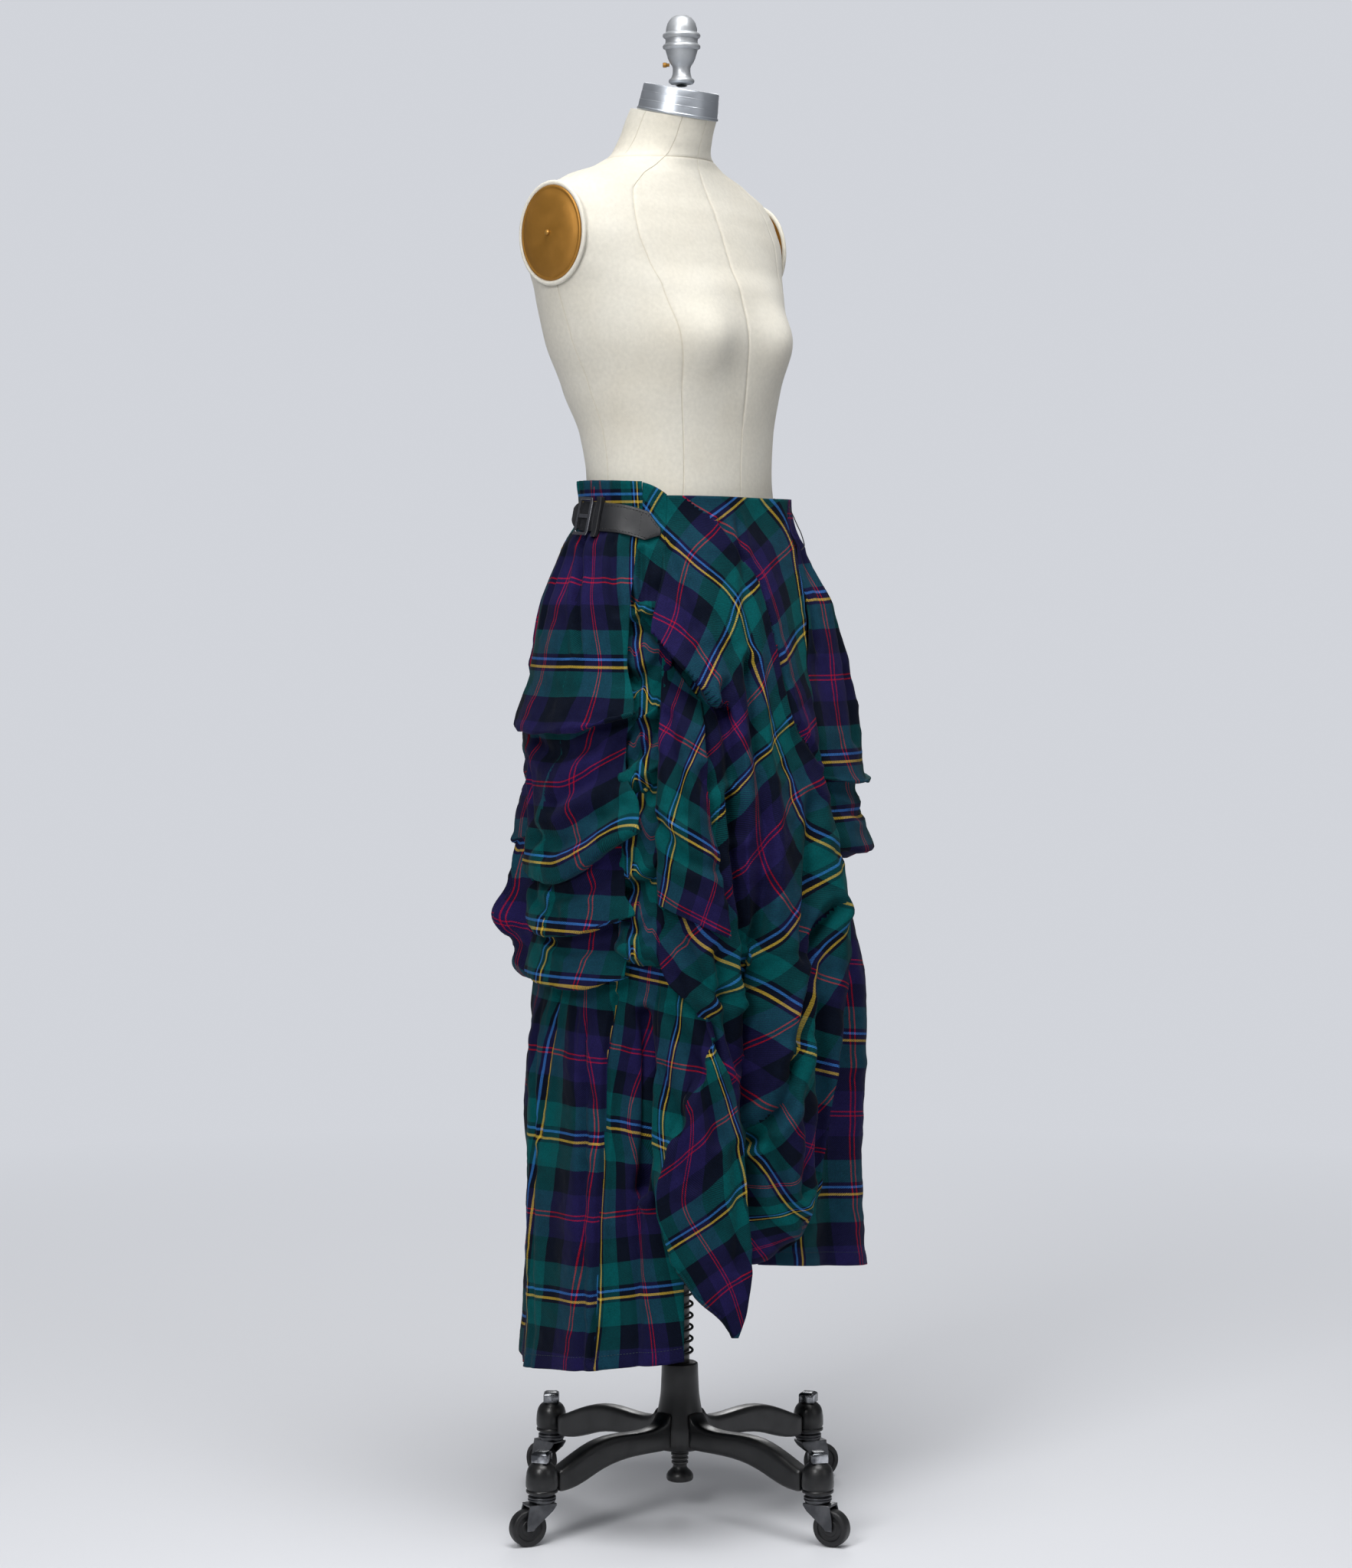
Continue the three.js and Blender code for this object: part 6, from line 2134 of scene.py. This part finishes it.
BELT_BANDS = [
    (
        "strap_leather", "strap", "leather", BLACK_LEATHER,
        dict(start=182.75, end=211, width=strap_width, lift=0, thickness=3, steps=60, crown=0.7),
    ),
    (
        "stub_leather", "strap_stub", "leather", BLACK_LEATHER,
        dict(start=151, end=170.35, width=stub_width, lift=0, thickness=3),
    ),
    (
        "roll_leather", "buckle_roll", "leather", BLACK_LEATHER,
        dict(start=170.5, end=180, width=even(34), lift=0, thickness=7, bevel=2.2, crown=1.0),
    ),
    (
        "keeper_leather", "buckle_keeper", "leather", BLACK_LEATHER,
        dict(start=180.15, end=182.6, width=even(46), lift=0, thickness=8, bevel=1.0, steps=8),
    ),
    (
        "prong_blackened", "buckle_prong", "steel", GUNMETAL,
        dict(start=171.1, end=177, width=even(4.4), lift=8.6, thickness=2.4, bevel=0.9, rows=4),
    ),
    (
        "frame_blackened", "buckle_frame", "black_metal", GUNMETAL,
        dict(
            start=169.3, end=178.8, width=even(44), lift=8.4, thickness=3, bevel=0.9, steps=19, rows=24,
            window=(3, 16, 2, 22),
        ),
    ),
]
for name, node, slot, material, shape in BELT_BANDS:
    stands_for(band(name, material=material, **shape), node, "form")


def edge_line(start, end, inset, side, count=60):
    """A line on a strap's face, inset from one edge, and the outward normals along it."""
    t = np.linspace(0, 1, count)
    degrees = start + (end - start) * t
    share = (degrees - STRAP["start"]) / (STRAP["end"] - STRAP["start"])
    edge = side * (strap_width(np.clip(share, 0, 1)) / 2 - inset)
    points = band_points(degrees, edge, 3.0, strap_height(degrees))
    ups = np.stack([np.cos(np.radians(degrees)), np.sin(np.radians(degrees)), np.zeros(count)], axis=-1)
    return points, ups


def belt_stitching():
    """Edge stitching along the strap, round its point, and across it behind the hole."""
    rows = []
    for side in (-1, 1):
        rows.append(edge_line(183.4, 205.4, 3.0, side))
        rows.append(edge_line(205.6, 210.0, 3.0, side))
    t = np.linspace(-13, 13, 12)
    turn = np.full(12, 201.5)
    across_points = band_points(turn, t, 3.0, strap_height(turn))
    ups = np.stack([np.cos(np.radians(turn)), np.sin(np.radians(turn)), np.zeros(12)], axis=-1)
    rows.append((across_points, ups))
    for number, (points, outward) in enumerate(rows):
        row = stitch_row("strap_stitches_%d" % number, points, WAXED_THREAD, outward)
        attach(row, "form")


belt_stitching()


def strap_eyelet():
    """The punched hole near the middle of the strap: a small dark rim sunk in the leather."""
    place = Vector(band_points(np.array([194.5]), np.array([0.0]), 2.7, strap_height(np.array([194.5])))[0]) * MM
    outward = heading(194.5)
    bpy.ops.object.select_all(action="DESELECT")
    bpy.ops.mesh.primitive_torus_add(
        major_segments=24, minor_segments=8, major_radius=1.9 * MM, minor_radius=0.55 * MM, location=(0, 0, 0)
    )
    rim = bpy.context.object
    settle(rim, "strap_hole_rim", BLACK_RUBBER, bevel=0)
    moved(rim, Matrix.Translation(place) @ outward.to_track_quat("Z", "Y").to_matrix().to_4x4())
    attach(rim, "form")


strap_eyelet()


def hanger_loop():
    """The thin ribbon loop at the left end of the top edge: a flat face grid along a curve, given a wall."""
    turn = 301
    stops = [(1203, 3.4), (1190, 7), (1172, 11), (1158, 10), (1152, 4.4)]
    at = np.linspace(0, len(stops) - 1, 33)
    route = spline_through(np.array(stops, float), at)
    z, lift = route[:, 0], route[:, 1]
    degrees = np.full(33, float(turn))
    centre = to_xyz(degrees, z, cloth_radius(degrees, z, 0) + lift)
    aside = np.array(heading(turn + 90))
    grid = np.stack([centre - aside * 1.6, centre - aside * 0.6, centre + aside * 0.6, centre + aside * 1.6], axis=1)
    piece = mesh_from_grid("hanger_ribbon", grid)
    give_thickness(piece, 1.0, offset=0.0)
    settle(piece, "hanger_ribbon", BLACK_LEATHER, bevel=0.2)
    stands_for(piece, "hanger_loop", "form")


hanger_loop()


# ---------------------------------------------------------------- nodes kept from the model
def dress_node(node, material, bevel):
    """Rounds and finishes a node that is kept as modelled."""
    kept = bpy.data.objects[node]
    weld = kept.modifiers.new("weld", "WELD")
    weld.merge_threshold = 0.00001
    rounding = kept.modifiers.new("rounded edges", "BEVEL")
    rounding.width = bevel * MM
    rounding.segments = 2
    rounding.limit_method = "ANGLE"
    rounding.angle_limit = math.radians(40)
    split = kept.modifiers.new("crisp edges", "EDGE_SPLIT")
    split.split_angle = math.radians(38)
    smooth_all(kept)
    kept.data.materials.clear()
    kept.data.materials.append(material)


KEPT_NODES = [
    ("finial_ball", POLISHED_STEEL, 0.2),
    ("thumbscrew", AGED_BRASS, 0.3),
    ("plate_screw_right", AGED_BRASS, 0.3),
    ("plate_screw_left", AGED_BRASS, 0.3),
    ("pole", POLISHED_STEEL, 0.5),
    ("axle_front", POLISHED_STEEL, 0.3),
    ("axle_right", POLISHED_STEEL, 0.3),
    ("axle_back", POLISHED_STEEL, 0.3),
    ("axle_left", POLISHED_STEEL, 0.3),
]
for node, material, bevel in KEPT_NODES:
    dress_node(node, material, bevel)


# ---------------------------------------------------------------- studio
AIR_LIGHT = 0.18
AIR_SEEN = 0.765
PAPER = srgb(236, 239, 246)


def studio():
    """A plain pale floor that takes soft shadows near the stand and meets the even pale air far off."""
    bpy.ops.object.select_all(action="DESELECT")
    bpy.ops.mesh.primitive_plane_add(size=120, location=(0, 0, 0))
    floor = bpy.context.object
    floor.name = "studio_floor"
    material, tree, shader = new_material("studio paper", 0.95)
    shader.inputs["Base Color"].default_value = (0.73, 0.74, 0.77, 1)
    shader.inputs["Specular IOR Level"].default_value = 0.0
    place = tree.nodes.new("ShaderNodeTexCoord").outputs["Object"]
    away = tree.nodes.new("ShaderNodeVectorMath")
    away.operation = "LENGTH"
    tree.links.new(place, away.inputs[0])
    far = ramp_between(tree, away.outputs["Value"], 0.5, 3.2)
    seen = tree.nodes.new("ShaderNodeLightPath").outputs["Is Camera Ray"]
    glow = tree.nodes.new("ShaderNodeEmission")
    glow.inputs[0].default_value = PAPER
    glow.inputs[1].default_value = AIR_SEEN
    blend = tree.nodes.new("ShaderNodeMixShader")
    tree.links.new(math_node(tree, "MULTIPLY", far, seen), blend.inputs[0])
    tree.links.new(shader.outputs[0], blend.inputs[1])
    tree.links.new(glow.outputs[0], blend.inputs[2])
    tree.links.new(blend.outputs[0], tree.nodes["Material Output"].inputs[0])
    floor.data.materials.append(material)
    world = bpy.data.worlds.new("studio air")
    bpy.context.scene.world = world
    world.use_nodes = True
    tree = world.node_tree
    air = tree.nodes["Background"]
    seen = tree.nodes.new("ShaderNodeLightPath").outputs["Is Camera Ray"]
    tree.links.new(ramp_between(tree, seen, 0, 1, AIR_LIGHT, AIR_SEEN), air.inputs[1])
    air.inputs[0].default_value = PAPER


def soft_lamp(name, place, target, size, power):
    """A square soft lamp aimed at a point."""
    data = bpy.data.lights.new(name, "AREA")
    data.shape = "RECTANGLE"
    data.size = size[0]
    data.size_y = size[1]
    data.energy = power
    lamp = bpy.data.objects.new(name, data)
    bpy.context.scene.collection.objects.link(lamp)
    lamp.location = place
    lamp.rotation_euler = (Vector(target) - Vector(place)).to_track_quat("-Z", "Y").to_euler()


studio()
soft_lamp("top_softbox", (-0.6, -0.8, 3.9), (0, 0, 0.9), (2.2, 2.2), 104)
soft_lamp("key_softbox", (-3.6, -1.0, 2.9), (0, 0, 0.9), (1.3, 1.8), 84)
soft_lamp("fill_softbox", (0.4, -4.4, 1.9), (0, 0, 0.9), (2.2, 2.4), 12)
soft_lamp("rim_softbox", (3.2, 2.4, 2.6), (0, 0, 0.6), (1.2, 2.0), 42)

bpy.context.scene.view_settings.view_transform = "Standard"
